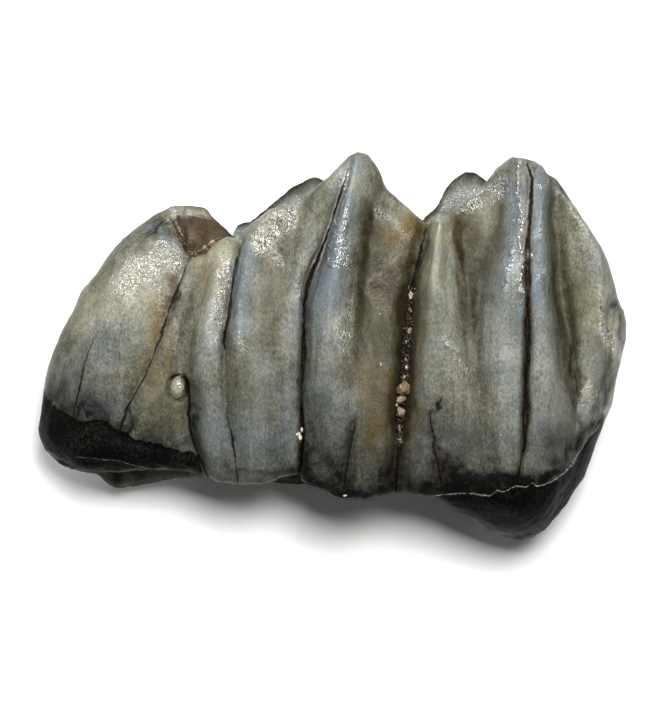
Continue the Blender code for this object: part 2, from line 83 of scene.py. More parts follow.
# form lines of the tongue wall: (x, y, height) from the root end to the chewing edge
tongueLines = {
    "back end": [
        (-10.51, -3.55, 8), (-10.73, -2.7, 8), (-10.69, -2.08, 8), (-10.4, -0.66, 8),
        (-9.81, 0.84, 7.8), (-9.23, 1.97, 7.6), (-8.35, 3.33, 7.3), (-7.47, 4.35, 6.9),
        (-6.89, 4.75, 6.6), (-6.52, 4.97, 6.4), (-6.05, 5.15, 6.2)],
    "third lobe crest": [
        (-9.1, -4.39, 8), (-9.36, -3.4, 8.2), (-9.27, -2.13, 8.3), (-8.83, -0.69, 8.3),
        (-8.11, 1.48, 8.1), (-7.26, 3.11, 7.7), (-6.44, 4.17, 7.1), (-5.83, 4.69, 6.6)],
    "third lobe crack": [
        (-7.79, -4.47, 7.7), (-7.74, -3.41, 7.7), (-7.65, -2.68, 7.7), (-7.18, -1.59, 7.7),
        (-6.53, -0.33, 7.7), (-6.06, 1.05, 7.6), (-5.66, 2.14, 7.5), (-5.16, 3.44, 7.2)],
    "heel flat": [
        (-6.26, -4.35, 7.7), (-6.53, -3.22, 7.7), (-6.38, -1.77, 7.7), (-5.8, 0.22, 7.7),
        (-5.33, 1.84, 7.5), (-4.87, 3.51, 7.2)],
    "heel step": [
        (-4.51, -4.6, 7.9), (-4.8, -3.87, 7.8), (-5.15, -2.86, 7.8), (-5.19, -1.77, 7.8),
        (-5.26, -0.87, 7.9), (-5.08, 0.58, 8), (-4.75, 2.02, 7.9), (-4.36, 3.8, 7.4)],
    "heel column": [
        (-4, -4.76, 8.3), (-4.31, -3.75, 8.5), (-4.49, -2.13, 8.6), (-4.53, -0.32, 8.6),
        (-4.42, 1.48, 8.4), (-4.14, 2.93, 8.1), (-3.78, 4.09, 7.6)],
    "heel crack": [
        (-3.42, -4.83, 8.4), (-3.52, -3.57, 8.5), (-3.84, -2.31, 8.5), (-3.91, -0.87, 8.5),
        (-3.88, 0.4, 8.4), (-3.66, 1.84, 8.2), (-3.49, 3.11, 8), (-3.31, 3.76, 7.7)],
    "wing crest": [
        (-2.91, -4.82, 8.7), (-2.97, -3.21, 8.8), (-3.26, -1.4, 8.9), (-3.37, 0.4, 8.9),
        (-3.3, 1.84, 8.7), (-3.08, 3.28, 8.4), (-2.87, 4.62, 8)],
    "wing hollow": [
        (-2.11, -4.73, 8.7), (-2.18, -3.21, 8.75), (-2.32, -1.4, 8.8), (-2.39, 0.4, 8.75),
        (-2.22, 1.84, 8.55), (-1.93, 3.28, 8.3), (-1.61, 5.27, 8)],
    "wing shoulder": [
        (-1.61, -4.55, 8.9), (-1.64, -3.21, 9), (-1.6, -1.4, 9.1), (-1.6, 0.4, 9.1),
        (-1.46, 1.84, 9), (-1.1, 3.28, 8.8), (-0.52, 5.99, 8.3)],
    "entoconid fissure": [
        (-1.17, -4.48, 9), (-1.1, -3.21, 9.1), (-1.12, -1.76, 9.1), (-1.04, 0.04, 9.05),
        (-0.99, 1.66, 8.9), (-0.74, 2.84, 8.7), (-0.27, 4, 8.6), (0.16, 5.26, 8.4),
        (0.52, 6.46, 8.3), (0.63, 7.04, 8.2)],
    "entoconid crest": [
        (0.34, -5.27, 9.6), (0.09, -3.56, 9.8), (-0.09, -1.76, 9.9), (-0.16, 0.04, 9.9),
        (-0.05, 1.83, 9.8), (0.16, 3.27, 9.6), (0.41, 4.71, 9.3), (0.7, 5.98, 8.9),
        (0.96, 7.22, 8.3)],
    "entoconid flank": [
        (1.17, -5.3, 9.5), (1.06, -3.56, 9.5), (0.99, -1.76, 9.45), (0.95, 0.04, 9.25),
        (1.06, 1.83, 8.95), (1.21, 3.28, 8.7), (1.39, 4.72, 8.4), (1.6, 5.81, 8.2),
        (1.75, 6.39, 8.1)],
    "brown wing": [
        (1.82, -5.2, 9.3), (1.85, -3.56, 9.3), (1.89, -1.76, 9.25), (1.92, 0.04, 9),
        (2.03, 1.84, 8.6), (2.25, 3.28, 8.3), (2.43, 4.54, 8.05), (2.65, 5.2, 8)],
    "middle groove": [
        (2.29, -5.13, 9.1), (2.36, -3.75, 9.1), (2.5, -2.48, 9), (2.54, -1.4, 8.9),
        (2.65, 0.04, 8.6), (2.76, 1.66, 8.3), (2.97, 2.74, 8.1), (3.19, 3.64, 7.95),
        (3.41, 4.59, 7.8)],
    "metastylid": [
        (3.34, -5.27, 9.6), (3.4, -3.56, 9.7), (3.43, -1.76, 9.7), (3.5, 0.04, 9.6),
        (3.61, 1.83, 9.5), (3.72, 3.27, 9.2), (3.8, 4.18, 8.9), (3.88, 4.95, 8.5)],
    "wall": [
        (4.33, -5.72, 9.5), (4.51, -3.56, 9.6), (4.47, -1.76, 9.6), (4.37, 0.04, 9.45),
        (4.3, 1.83, 9.1), (4.23, 3.27, 8.7), (4.23, 4.18, 8.4), (4.35, 5.12, 8.2)],
    "wall valley": [
        (4.99, -6.1, 9.5), (5.3, -3.56, 9.5), (5.19, -1.76, 9.4), (4.98, 0.04, 9.1),
        (4.84, 1.48, 8.6), (4.78, 2.92, 8.2), (4.81, 4.18, 8), (5.11, 5.67, 8)],
    "metaconid crest": [
        (5.81, -6.52, 9.5), (6.13, -4.28, 9.7), (6.15, -2.48, 9.9), (6.15, -0.68, 10),
        (6.19, 1.11, 9.9), (6.37, 2.55, 9.8), (6.63, 3.99, 9.5), (6.75, 5.61, 9.1), (6.55, 7, 8.5)],
    "metaconid fissure": [
        (6.41, -6.68, 9.5), (6.64, -4.64, 9.7), (6.88, -3.38, 9.8), (6.94, -1.76, 9.9),
        (6.98, 0.04, 9.9), (7.01, 1.83, 9.9), (7.02, 3.63, 9.7), (7.14, 5.43, 9.3),
        (7.16, 6.89, 8.7)],
    "front crest": [
        (7.06, -6.68, 9.2), (7.39, -4.64, 9.5), (7.67, -2.84, 9.7), (7.7, -1.04, 9.8),
        (7.59, 1.11, 9.8), (7.52, 3.27, 9.6), (7.5, 5.43, 9.2), (7.59, 6.74, 8.6)],
    "front valley": [
        (7.75, -6.46, 8.2), (8.44, -4.37, 8.5), (8.71, -3.21, 8.5), (8.84, -1.77, 8.4),
        (8.63, 0.04, 8.4), (8.34, 1.84, 8.3), (8.16, 3.64, 8.2), (8.1, 5.09, 8.1), (8.18, 6.17, 8)],
    "front ridge": [
        (7.97, -6.04, 7.8), (8.88, -3.57, 8.2), (9.43, -2.13, 8.5), (9.71, -0.68, 8.7),
        (9.82, 0.58, 8.8), (9.82, 1.84, 8.8), (9.75, 2.74, 8.7), (9.61, 3.53, 8.6),
        (9.36, 4.29, 8.4)],
    "edge furrow": [
        (8.24, -5.83, 7.5), (9.24, -3.08, 7.7), (9.6, -2.06, 7.9), (9.85, -0.9, 8), (9.99, 0.22, 8),
        (10.14, 1.12, 7.9), (10.21, 1.66, 7.9), (10.25, 2.13, 8.1)],
    "parastylid": [
        (8.32, -5.76, 7.2), (9.4, -3.15, 7.6), (9.79, -2.06, 7.8), (10.11, -0.76, 8),
        (10.33, 0.22, 8.1), (10.44, 0.83, 8), (10.42, 1.34, 7.8), (10.33, 1.74, 7.6)],
    "front end": [
        (8.43, -5.74, 7), (8.87, -5.12, 7.2), (9.24, -4.57, 7.3), (9.71, -3.15, 7.4),
        (10.22, -1.86, 7.7), (10.5, -0.55, 7.9), (10.66, 0.07, 7.9), (10.75, 0.58, 7.8),
        (10.73, 1.02, 7.7), (10.64, 1.39, 7.6), (10.54, 1.53, 7.5), (10.41, 1.64, 7.4)],
}

# the same on the cheek wall; a height below zero is flattened where the tooth rests
cheekLines = {
    "outer flank": [
        (-9.14, -4.41, 3), (-9.44, -3.28, 2.6), (-9.16, -1.07, 2.4), (-8.2, 1.51, 2.4),
        (-6.71, 4.08, 2.9), (-5.77, 5.24, 3.8)],
    "third lobe": [
        (-7.14, -4.98, 1.5), (-7.27, -3.29, 1.1), (-6.9, -1.07, 1.1), (-6.26, 1.52, 1.4),
        (-5.55, 4.09, 2.2), (-5.17, 5.29, 2.9)],
    "heel furrow": [
        (-4.86, -4.51, 3.5), (-4.76, -3.27, 3.3), (-4.61, -1.07, 3.3), (-4.35, 1.51, 3.4),
        (-3.84, 3.71, 3.5), (-3.61, 4.18, 3.7)],
    "hypoconid": [
        (-1.58, -4.97, -0.25), (-1.58, -3.31, -0.25), (-1.51, -1.08, -0.25), (-1.32, 1.52, -0.15),
        (-1.02, 3.75, 0.4), (-0.72, 6.39, 1.6)],
    "median furrow": [
        (1.74, -4.92, 3.2), (1.85, -3.27, 3.3), (1.96, -1.06, 3.4), (2.11, 1.5, 3.4),
        (2.26, 2.97, 3.5), (2.33, 3.96, 3.7)],
    "protoconid": [
        (5.27, -6.17, -0.1), (5.26, -3.68, -0.25), (5.19, -1.08, -0.25), (5.11, 1.52, -0.15),
        (5.1, 3.75, 0.4), (5.08, 6.64, 1.6)],
    "front flank": [
        (7.33, -6.54, 2.8), (7.9, -3.65, 2.5), (8.23, -1.07, 2.4), (8.38, 1.2, 2.6), (8.28, 2.6, 3),
        (8.1, 3.98, 3.6)],
}

# outlines seen from above, between both ends
outlines = {
    "tongue rim": [
        (-5.76, 4.51), (-5.47, 3.97), (-5.14, 3.47), (-4.68, 3.5), (-4.35, 3.79), (-3.77, 4.12),
        (-3.48, 3.99), (-3.3, 3.75), (-3.16, 4.22), (-2.94, 4.6), (-2.62, 4.82), (-2.18, 5.13),
        (-1.32, 5.34), (-0.96, 5.58), (-0.6, 5.94), (0.09, 6.52), (0.42, 6.88), (0.67, 7.11),
        (0.96, 7.22), (1.25, 7.15), (1.5, 6.86), (1.71, 6.46), (1.86, 6.03), (2.33, 5.58),
        (2.98, 4.96), (3.3, 4.73), (3.45, 4.57), (3.63, 4.87), (3.84, 4.97), (4.1, 4.95),
        (4.82, 5.49), (5.18, 5.76), (5.69, 6.3), (5.9, 6.61), (6.16, 6.81), (6.52, 7), (6.91, 6.95),
        (7.56, 6.77), (7.85, 6.43), (8.12, 6.26), (8.29, 6.03), (8.59, 5.52), (8.94, 4.93),
        (9.38, 4.3), (9.7, 3.83), (9.99, 3.22), (10.17, 2.6), (10.3, 1.9)],
    "cheek rim": [
        (-5.78, 5.3), (-5.26, 5.32), (-4.71, 5.26), (-4.3, 4.84), (-3.93, 4.5), (-3.64, 4.21),
        (-3.49, 4.62), (-2.97, 4.8), (-2.31, 5.32), (-1.5, 6.04), (-1.02, 6.31), (-0.72, 6.41),
        (-0.42, 6.33), (0.09, 5.94), (0.83, 5.21), (1.57, 4.47), (2.31, 3.99), (2.79, 4.17),
        (3.38, 4.84), (3.86, 5.46), (4.26, 6.06), (4.63, 6.42), (4.93, 6.63), (5.22, 6.63),
        (5.62, 6.32), (6.17, 5.82), (6.91, 5.12), (7.83, 4.24), (8.75, 3.35), (9.67, 2.47)],
    "tongue base": [
        (-10.06, -3.87), (-9.74, -4.08), (-9.05, -4.37), (-8.44, -4.41), (-6.59, -4.34),
        (-5.87, -4.34), (-4.79, -4.52), (-3.99, -4.75), (-3.41, -4.82), (-2.55, -4.81),
        (-2.11, -4.7), (-1.82, -4.53), (-1.21, -4.43), (-1.07, -4.66), (-0.81, -4.9),
        (-0.27, -5.09), (0.45, -5.31), (1.07, -5.37), (1.9, -5.18), (2.29, -5.09), (2.98, -5.24),
        (3.74, -5.35), (4.25, -5.67), (5.15, -6.16), (6.16, -6.62), (6.66, -6.7), (7.21, -6.65),
        (7.61, -6.54), (7.98, -6.24)],
    "cheek base": [
        (-10.07, -4.05), (-9.33, -4.4), (-8.63, -4.55), (-8.37, -4.77), (-7.85, -4.99),
        (-7.15, -5.01), (-6.26, -4.77), (-5.45, -4.66), (-4.9, -4.55), (-4.08, -4.55),
        (-3.05, -4.66), (-1.94, -4.9), (0.46, -4.95), (1.76, -4.95), (2.86, -5.03), (3.83, -5.32),
        (4.79, -5.88), (5.82, -6.47), (6.75, -6.69), (7.71, -6.4)],
}

# how the tongue wall turns under at the root end: (x, radius, share of its height lost)
rootTurn = [
    (-10.5, 1, 0.5), (-8, 1, 0.48), (-4.8, 0.7, 0.3), (-3.5, 0.9, 0.24), (-1.2, 0.6, 0.13),
    (0.5, 1, 0.2), (2.3, 0.8, 0.17), (3.6, 1, 0.28), (5, 1.5, 0.7), (6.5, 1.9, 0.9),
    (8.4, 1.9, 0.9),
]
# how deep the chewing surface sinks between both rims: (x at the rim, depth)
fossettes = [
    (-6, 0), (-5, 0.35), (-3.7, 0.9), (-2.6, 1.7), (-0.8, 3), (0.6, 2.8), (2.2, 1.6), (3.1, 1.1),
    (4.2, 1.9), (5.4, 3.1), (6.8, 3), (8.2, 1.3), (9.3, 0.2),
]
# how far the root end is hollowed: (x at the root end, depth)
rootHollow = [
    (-10.3, 0), (-8.8, 0.6), (-7.2, 1.3), (-5.4, 0.9), (-4.2, 0.8), (-2.4, 1.7), (-0.6, 1.8),
    (1.2, 1.5), (2.8, 0.9), (4.4, 0.2), (5.6, -0.15), (7.4, -0.2), (8.3, 0),
]
# soft grooves of the tongue wall: form line, half width, depth at the root end, middle, rim
softGrooves = [
    ("third lobe crack", 0.18, 0.06, 0.12, 0.14), ("heel step", 0.16, 0.15, 0.12, 0.03),
    ("heel crack", 0.12, 0.05, 0.09, 0.1), ("entoconid fissure", 0.14, 0.2, 0.22, 0.02),
    ("middle groove", 0.3, 0.25, 0.6, 0.3), ("metaconid fissure", 0.15, 0.2, 0.28, 0.08),
    ("front valley", 0.22, 0.1, 0.26, 0.06), ("edge furrow", 0.2, 0.05, 0.12, 0.06),
]
# knobs: (x, y, half width, half length, height)
enamelPearl = (-5.6, -1.33, 0.31, 0.4, 0.36)
basalPillar = (1.86, -3.6, 0.55, 1.5, 1.3)
dentinePlug = (-5.05, 4.45, 0.62, 0.5, 0.34)
# ovals of stain: (x, y, half width, half length)
plugOval = (-4.95, 4.18, 1.08, 0.7)
backRimOval = (-5.05, 5.15, 1.3, 0.55)

# Cracks of the tongue wall, left to right and from the chewing edge down:
# (x, y, half width of the dark line, depth)
cracks = {
    "lobe hairline": [
        (-8.44, 0.94, 0, 0), (-8.8, 0.04, 0.016, 0.03), (-9.01, -0.51, 0.022, 0.04),
        (-9.15, -1.23, 0.031, 0.05), (-9.37, -2.14, 0.031, 0.05), (-9.45, -2.57, 0.026, 0.04)],
    "third lobe crack": [
        (-5.18, 3.45, 0.033, 0.11), (-5.46, 2.65, 0.028, 0.11), (-5.89, 1.59, 0.016, 0.05),
        (-6.21, 0.58, 0.013, 0.05), (-6.54, -0.33, 0.011, 0.04), (-6.9, -1.12, 0.021, 0.08),
        (-7.44, -2.06, 0.029, 0.08), (-7.7, -2.86, 0.032, 0.08), (-7.69, -3.22, 0.032, 0.06)],
    "heel step": [
        (-4.75, 3.2, 0, 0), (-5.42, -0.7, 0, 0.02), (-5.3, -1.05, 0.031, 0.14),
        (-5.19, -1.59, 0.031, 0.14), (-5.19, -2.32, 0.027, 0.12), (-5.16, -2.86, 0.031, 0.12),
        (-5.01, -3.4, 0.034, 0.12), (-4.79, -3.87, 0.041, 0.12), (-4.51, -4.53, 0.041, 0.1)],
    "heel crack": [
        (-3.35, 3.66, 0.026, 0.12), (-3.49, 3.11, 0.026, 0.12), (-3.67, 1.84, 0.029, 0.14),
        (-3.74, 1.3, 0.032, 0.14), (-3.92, 0.4, 0.034, 0.12), (-3.9, 0.12, 0.021, 0.05),
        (-3.88, -0.05, 0, 0), (-3.81, -1.9, 0, 0), (-3.84, -2.31, 0.013, 0.02),
        (-3.59, -3.21, 0.019, 0.04), (-3.42, -4.81, 0.015, 0.03)],
    "entoconid fissure": [
        (0.56, 6.54, 0.009, 0.02), (0.34, 5.81, 0.016, 0.06), (0.16, 5.27, 0.023, 0.08),
        (-0.02, 4.66, 0.028, 0.1), (-0.27, 4, 0.033, 0.11), (-0.52, 3.36, 0.035, 0.13),
        (-0.74, 2.85, 0.048, 0.24), (-0.88, 2.38, 0.05, 0.27), (-1.03, 1.66, 0.054, 0.3),
        (-1.03, 0.04, 0.053, 0.5), (-1.1, -1.05, 0.048, 0.45), (-1.14, -1.77, 0.045, 0.45),
        (-1.06, -3.21, 0.048, 0.45), (-1.17, -4.3, 0.083, 0.5), (-1.28, -4.78, 0.105, 0.5)],
    "flank hairline": [
        (1.06, 0.76, 0, 0), (0.84, -2.3, 0, 0), (0.74, -3.02, 0.036, 0.03),
        (0.63, -3.48, 0.051, 0.04), (0.56, -3.99, 0.051, 0.04), (0.45, -4.71, 0.051, 0.04)],
    "middle groove": [
        (3.42, 4.56, 0.02, 0.05), (3.16, 3.47, 0.035, 0.1), (2.98, 2.75, 0.055, 0.16),
        (2.84, 2.2, 0.11, 0.22), (2.76, 1.48, 0.13, 0.26), (2.73, 0.76, 0.14, 0.28),
        (2.65, 0.04, 0.16, 0.3), (2.62, -0.69, 0.213, 0.3), (2.5, -1.77, 0.225, 0.3),
        (2.44, -2.4, 0.175, 0.28), (2.43, -3.39, 0.088, 0.25), (2.32, -4.29, 0.045, 0.22),
        (2.29, -5.09, 0.04, 0.2)],
    "pillar hairline": [
        (3.79, 0.04, 0, 0), (3.5, -1.94, 0, 0), (3.54, -2.66, 0.033, 0.03),
        (3.65, -3.2, 0.048, 0.04), (3.65, -3.63, 0.057, 0.05), (3.79, -3.99, 0.057, 0.05),
        (3.9, -4.71, 0.057, 0.05)],
    "metaconid fissure": [
        (7.05, 6.71, 0.023, 0.03), (7.19, 6.24, 0.04, 0.05), (7.15, 5.26, 0.048, 0.08),
        (7.04, 3.99, 0.057, 0.1), (7, 3.45, 0.086, 0.12), (7.03, 2.37, 0.09, 0.24),
        (7.03, -0.14, 0.112, 0.45), (6.96, -0.68, 0.103, 0.45), (6.96, -2.12, 0.091, 0.41),
        (6.89, -3.56, 0.081, 0.32), (6.78, -3.92, 0.051, 0.23), (6.64, -4.71, 0.029, 0.15)],
    "front valley": [
        (8.28, 3.64, 0, 0), (8.42, 1.2, 0, 0), (8.56, 0.22, 0.006, 0.02), (8.71, -0.4, 0.008, 0.04),
        (8.82, -1.23, 0.011, 0.05), (8.85, -1.77, 0.011, 0.05), (8.78, -2.49, 0.008, 0.04),
        (8.67, -3.5, 0.006, 0.03)],
    "edge furrow": [
        (10.31, 1.63, 0.009, 0.03), (10.15, 1.12, 0.009, 0.03), (10.11, 0.4, 0.007, 0.03),
        (9.97, -0.33, 0.007, 0.03), (9.75, -1.41, 0.006, 0.02), (9.61, -1.95, 0.005, 0.02),
        (9.26, -2.93, 0.004, 0.01)],
}
crackForm = {
    "wander": ((0.5, 0.008, 5), (0.17, 0.006, 6)),      # wave length, height, seed
    "stretch": 0.3,             # how much slower the waves are across than along
    "taper": 0.15,              # length over which a crack ends
    "least": 0.03,              # least half width of its groove
    "sharpness": 0.75,          # half width of the groove beside that of the dark line
}

# Ledges, at which the wall steps down to one side and climbs back further on:
# (x, y) from the chewing edge down, height, width of the step, reach (below zero to the left)
ledges = {
    "column edge": ([
        (4.3, 4.97), (4.48, 4.54), (4.66, 3.82), (4.73, 2.92), (4.81, 1.84), (4.91, 0.94),
        (5.06, 0.32)], 0.19, 0.17, 0.85),
    "ridge edge": ([
        (1.71, 6.7), (1.49, 5.44), (1.24, 4.36), (1.13, 3.28), (1.06, 1.84), (0.88, 0.4),
        (0.7, -0.76)], 0.22, 0.22, 0.8),
    "valley edge": ([
        (6.28, 5.98), (6.1, 4.9), (5.89, 3.82), (5.6, 2.56), (5.38, 1.48),
        (5.2, 0.47)], 0.2, 0.12, -0.8),
    "twin edge": ([
        (7.69, 6.23), (7.72, 4.72), (7.79, 3.28), (7.94, 1.84), (8.15, 0.22)], 0.05, 0.36, 0.8),
}
ledgeFade = 1.8     # length over which a ledge fades out at its lower end

# Broken edge of the enamel, left to right: (x, y, half width of its pale line, step below it).
# Between both ends it lies below the root end.
enamelEdge = [
    (-11.2, -0.6, 0, 0.1), (-10.48, -1.79, 0, 0.1), (-9.9, -2.14, 0, 0.1), (-9.33, -2.5, 0, 0.1),
    (-8.42, -2.53, 0, 0.1), (-8.05, -2.75, 0, 0.1), (-7.33, -3.15, 0, 0.1), (-6.78, -3.33, 0, 0.1),
    (-5.69, -3.58, 0, 0.08), (-4.85, -3.9, 0, 0.05), (-4.6, -4.6, 0, 0), (-4.2, -7.5, 0, 0),
    (2, -7.5, 0, 0), (3.05, -5.42, 0.02, 0.04), (3.45, -5.31, 0.025, 0.06),
    (4.05, -5.18, 0.025, 0.08), (4.77, -5.14, 0.025, 0.1), (5.13, -5.11, 0.03, 0.1),
    (5.66, -5.21, 0.03, 0.1), (5.91, -4.99, 0.03, 0.1), (6.2, -5.07, 0.03, 0.1),
    (6.6, -4.86, 0.03, 0.1), (6.99, -4.89, 0.03, 0.1), (7.2, -4.74, 0.03, 0.1),
    (7.35, -4.89, 0.03, 0.1), (7.64, -4.82, 0.03, 0.1), (8.09, -4.61, 0.03, 0.1),
    (8.27, -4.47, 0.03, 0.1), (8.69, -4.12, 0.03, 0.1), (8.84, -3.87, 0.025, 0.09),
    (9.19, -3.33, 0.02, 0.08), (9.52, -2.87, 0.015, 0.06), (9.82, -2.32, 0, 0.03),
    (10.09, -1.78, 0, 0), (10.9, 0.6, 0, 0),
]
# Pale line low on the back lobe: (x, y, half width)
necklaceLine = [
    (-9.6, -3.75, 0), (-9.08, -3.84, 0.015), (-8.42, -3.91, 0.02), (-7.7, -3.99, 0.02),
    (-6.98, -4.21, 0.025), (-6.26, -4.28, 0.03), (-5.78, -4.38, 0.03), (-5.22, -4.48, 0.025),
    (-4.61, -4.59, 0.02), (-4.4, -4.62, 0),
]
edgeForm = {
    "fullWidth": 0.02,              # half width of a pale line that is raised in full
    "step": (0.05, -0.06),          # from where to where, above the edge, the wall steps down
    "edge": (0.03, 0.03, 0.05),     # ridge on the edge: height, place above it, half width
    "necklace": (0.05, 0.0, 0.05),
    "pearlMoat": (0.14, 1.05, 0.28),    # depth, place and half width round the bead
    "pearlDome": (1.2, 0.9),        # how steep and how full the bead is
}

# Surface relief of the finished tooth: wave length, height
toothRelief = {
    "dents": (1.7, 0.026),
    "waves": (0.62, 0.006),
    "pits": (0.24, 0.0035),
    "ribs": (0.28, 0.006),
    "brokenRoot": (0.62, 0.015),
    "chewing": (0.55, 0.035),
}
ribStretch = np.array([1.0, 0.12, 1.0])     # ribs run along y
reliefSeed = 11
reliefStart = 0.5       # height above the table at which relief is at its full
reliefSpans = {         # places round the ring: 0 to 1 tongue wall, to 2 top, to 3 cheek, to 4 root
    "unbroken": ((0.0, 0.06), (2.9, 3.1)),
    "chewing": ((0.98, 1.05), (1.95, 2.02)),
}
brushWaves = ((1.1, 0.10), (0.35, 0.04), (1.3, 0.16))   # bends of the strokes: length, height


def flow(at, knots, values):
    # Monotone cubic: between two knots a cubic that starts and ends at their values, with
    # slopes that are the harmonic mean of the rises on both sides, so it never overshoots.
    at, knots, values = (np.asarray(item, float) for item in (at, knots, values))
    if values.ndim == 1:
        return flow(at, knots, values[:, None])[:, 0]
    gap = np.diff(knots)[:, None]
    rise = np.diff(values, axis=0) / gap
    product = rise[:-1] * rise[1:]
    total = rise[:-1] + rise[1:]
    total = np.where(np.abs(total) < tiny, 1.0, total)
    middle = np.where(product > 0.0, 2.0 * product / total, 0.0)
    slope = np.vstack([rise[:1], middle, rise[-1:]])
    k = np.clip(np.searchsorted(knots, at, side="right") - 1, 0, len(knots) - 2)
    step = gap[k]
    t = np.clip((at - knots[k])[:, None] / step, 0.0, 1.0)
    rest = 1.0 - t
    start = values[k] * (1.0 + 2.0 * t) * rest ** 2 + slope[k] * step * t * rest ** 2
    end = values[k + 1] * (3.0 - 2.0 * t) * t ** 2 - slope[k + 1] * step * rest * t ** 2
    return start + end


def along(at, table):
    # Straight lines between the rows of a table of (place, value).
    return np.interp(at, *np.array(table).T)


def quarterRound(t):
    # Quarter circle: the square root of one less the square of what is left to 1.
    return np.sqrt(1.0 - (1.0 - np.clip(t, 0.0, 1.0)) ** 2)


def bell(distance, halfWidth):
    # Bell: e to the minus square of distance over half width.
    return np.exp(-(distance / halfWidth) ** 2)


def ease(value, low, high):
    # Smooth step: three t squared less two t cubed, t the share of the way from low to high.
    # Where low is above high it falls.
    t = np.clip((value - low) / (high - low), 0.0, 1.0)
    return t * t * (3.0 - 2.0 * t)


def span(value, rise, fall):
    # Smooth step up between the numbers of rise, times one down between those of fall.
    return ease(value, *rise) * ease(value, *fall[::-1])


def waves(points, length, seed, count=waveCount):
    # Smooth noise of about unit height: the sum of plane sine waves in random directions, with
    # lengths around the given one.
    dice = np.random.default_rng(seed)
    ways = dice.normal(size=(count, points.shape[-1]))
    ways /= np.linalg.norm(ways, axis=1, keepdims=True)
    ways *= 2.0 * np.pi / (length * dice.uniform(*lengthSpread, (count, 1)))
    phases = dice.uniform(0.0, 2.0 * np.pi, count)
    return np.sin(points @ ways.T + phases).sum(axis=-1) * np.sqrt(2.0 / count)


def ringAt(x, y, oval):
    # Distance from the middle of an oval, 1 on its edge.
    return np.hypot((x - oval[0]) / oval[2], (y - oval[1]) / oval[3])


def knob(x, y, place):
    # Rounded knob: its height times a bell across and a bell along.
    atX, atY, halfWidth, halfLength, height = place
    return height * bell(x - atX, halfWidth) * bell(y - atY, halfLength)


def lineAt(line, v):
    # x and height of a form line at the shares v of its way up, by flow over its points.
    points = np.array(line)
    share = (points[:, 1] - points[0, 1]) / (points[-1, 1] - points[0, 1])
    return flow(v, share, points[:, [0, 2]]).T


def linePlaces(lines):
    # Where each form line stands along the tooth, 0 to 1: by the mean of its x at three heights.
    meanX = np.array([lineAt(line, threeHeights)[0].mean() for line in lines.values()])
    return (meanX - meanX[0]) / (meanX[-1] - meanX[0])


def skin(lines, rim, base, s, v):
    # Wall as a function of s along and v up: x and height flow from form line to form line,
    # and y runs evenly from the base outline to the rim outline.
    first, last = lines["back end"], lines["front end"]
    runs = {name: lineAt(line, v) for name, line in lines.items()}
    places = linePlaces(lines)
    x, z = (flow(s, places, np.array([run[part] for run in runs.values()])) for part in (0, 1))
    rim = [first[-1][:2], *rim, last[-1][:2]]
    base = [first[0][:2], *base, last[0][:2]]
    yRim = flow(x[:, -1], *np.array(rim).T)[:, None]
    yBase = flow(x[:, 0], *np.array(base).T)[:, None]
    return x, yBase + (yRim - yBase) * v, z, runs


def nearestCrack(x, y):
    # Signed distance to the nearest crack: x less the crack's x at that height. Its sign turns
    # round at every other crack, so it passes through zero on each and is even between two.
    # With it come the crack's half width and depth there.
    at = np.stack([y, crackForm["stretch"] * x], axis=-1)
    wander = sum(height * waves(at, length, seed) for length, height, seed in crackForm["wander"])
    taper = crackForm["taper"]
    found = []
    for path in cracks.values():
        pathX, pathY, width, depth = np.array(path[::-1]).T
        ends = span(y, (pathY[0] - taper, pathY[0]), (pathY[-1], pathY[-1] + taper))
        found.append([x + wander - np.interp(y, pathY, pathX),
                      np.interp(y, pathY, width) * ends, np.interp(y, pathY, depth) * ends])
    offsets, widths, depths = np.array(found).swapaxes(0, 1)
    nearest = np.argmin(np.abs(offsets), axis=0)[None]
    offsets[1::2] *= -1.0
    return [np.take_along_axis(item, nearest, axis=0)[0] for item in (offsets, widths, depths)]


def besideLine(x, y, line):
    # Signed distance above a line drawn left to right: y less the line's y, times the cosine
    # of its slope. The line's other columns come with it.
    line = np.array(line)
    slope = np.gradient(line[:, 1], line[:, 0])
    cosine = 1.0 / np.sqrt(1.0 + np.interp(x, line[:, 0], slope) ** 2)
    distance = (y - np.interp(x, line[:, 0], line[:, 1])) * cosine
    return [distance, *[np.interp(x, line[:, 0], column) for column in line[:, 2:].T]]


def closeEnds(x, y, z, v, atBack, atFront):
    # Curves a wall in to the seam by a quarter circle at both ends.
    backSeam = toothForm["backSeam"]
    low, high = toothForm["frontSeam"]
    frontSeam = low + (high - low) * v ** 3
    z = backSeam + (z - backSeam) * quarterRound((x - x[:1]) / atBack)
    z = frontSeam + (z - frontSeam) * quarterRound((x[-1:] - x) / atFront)
    return np.stack([x, y, z], axis=-1)


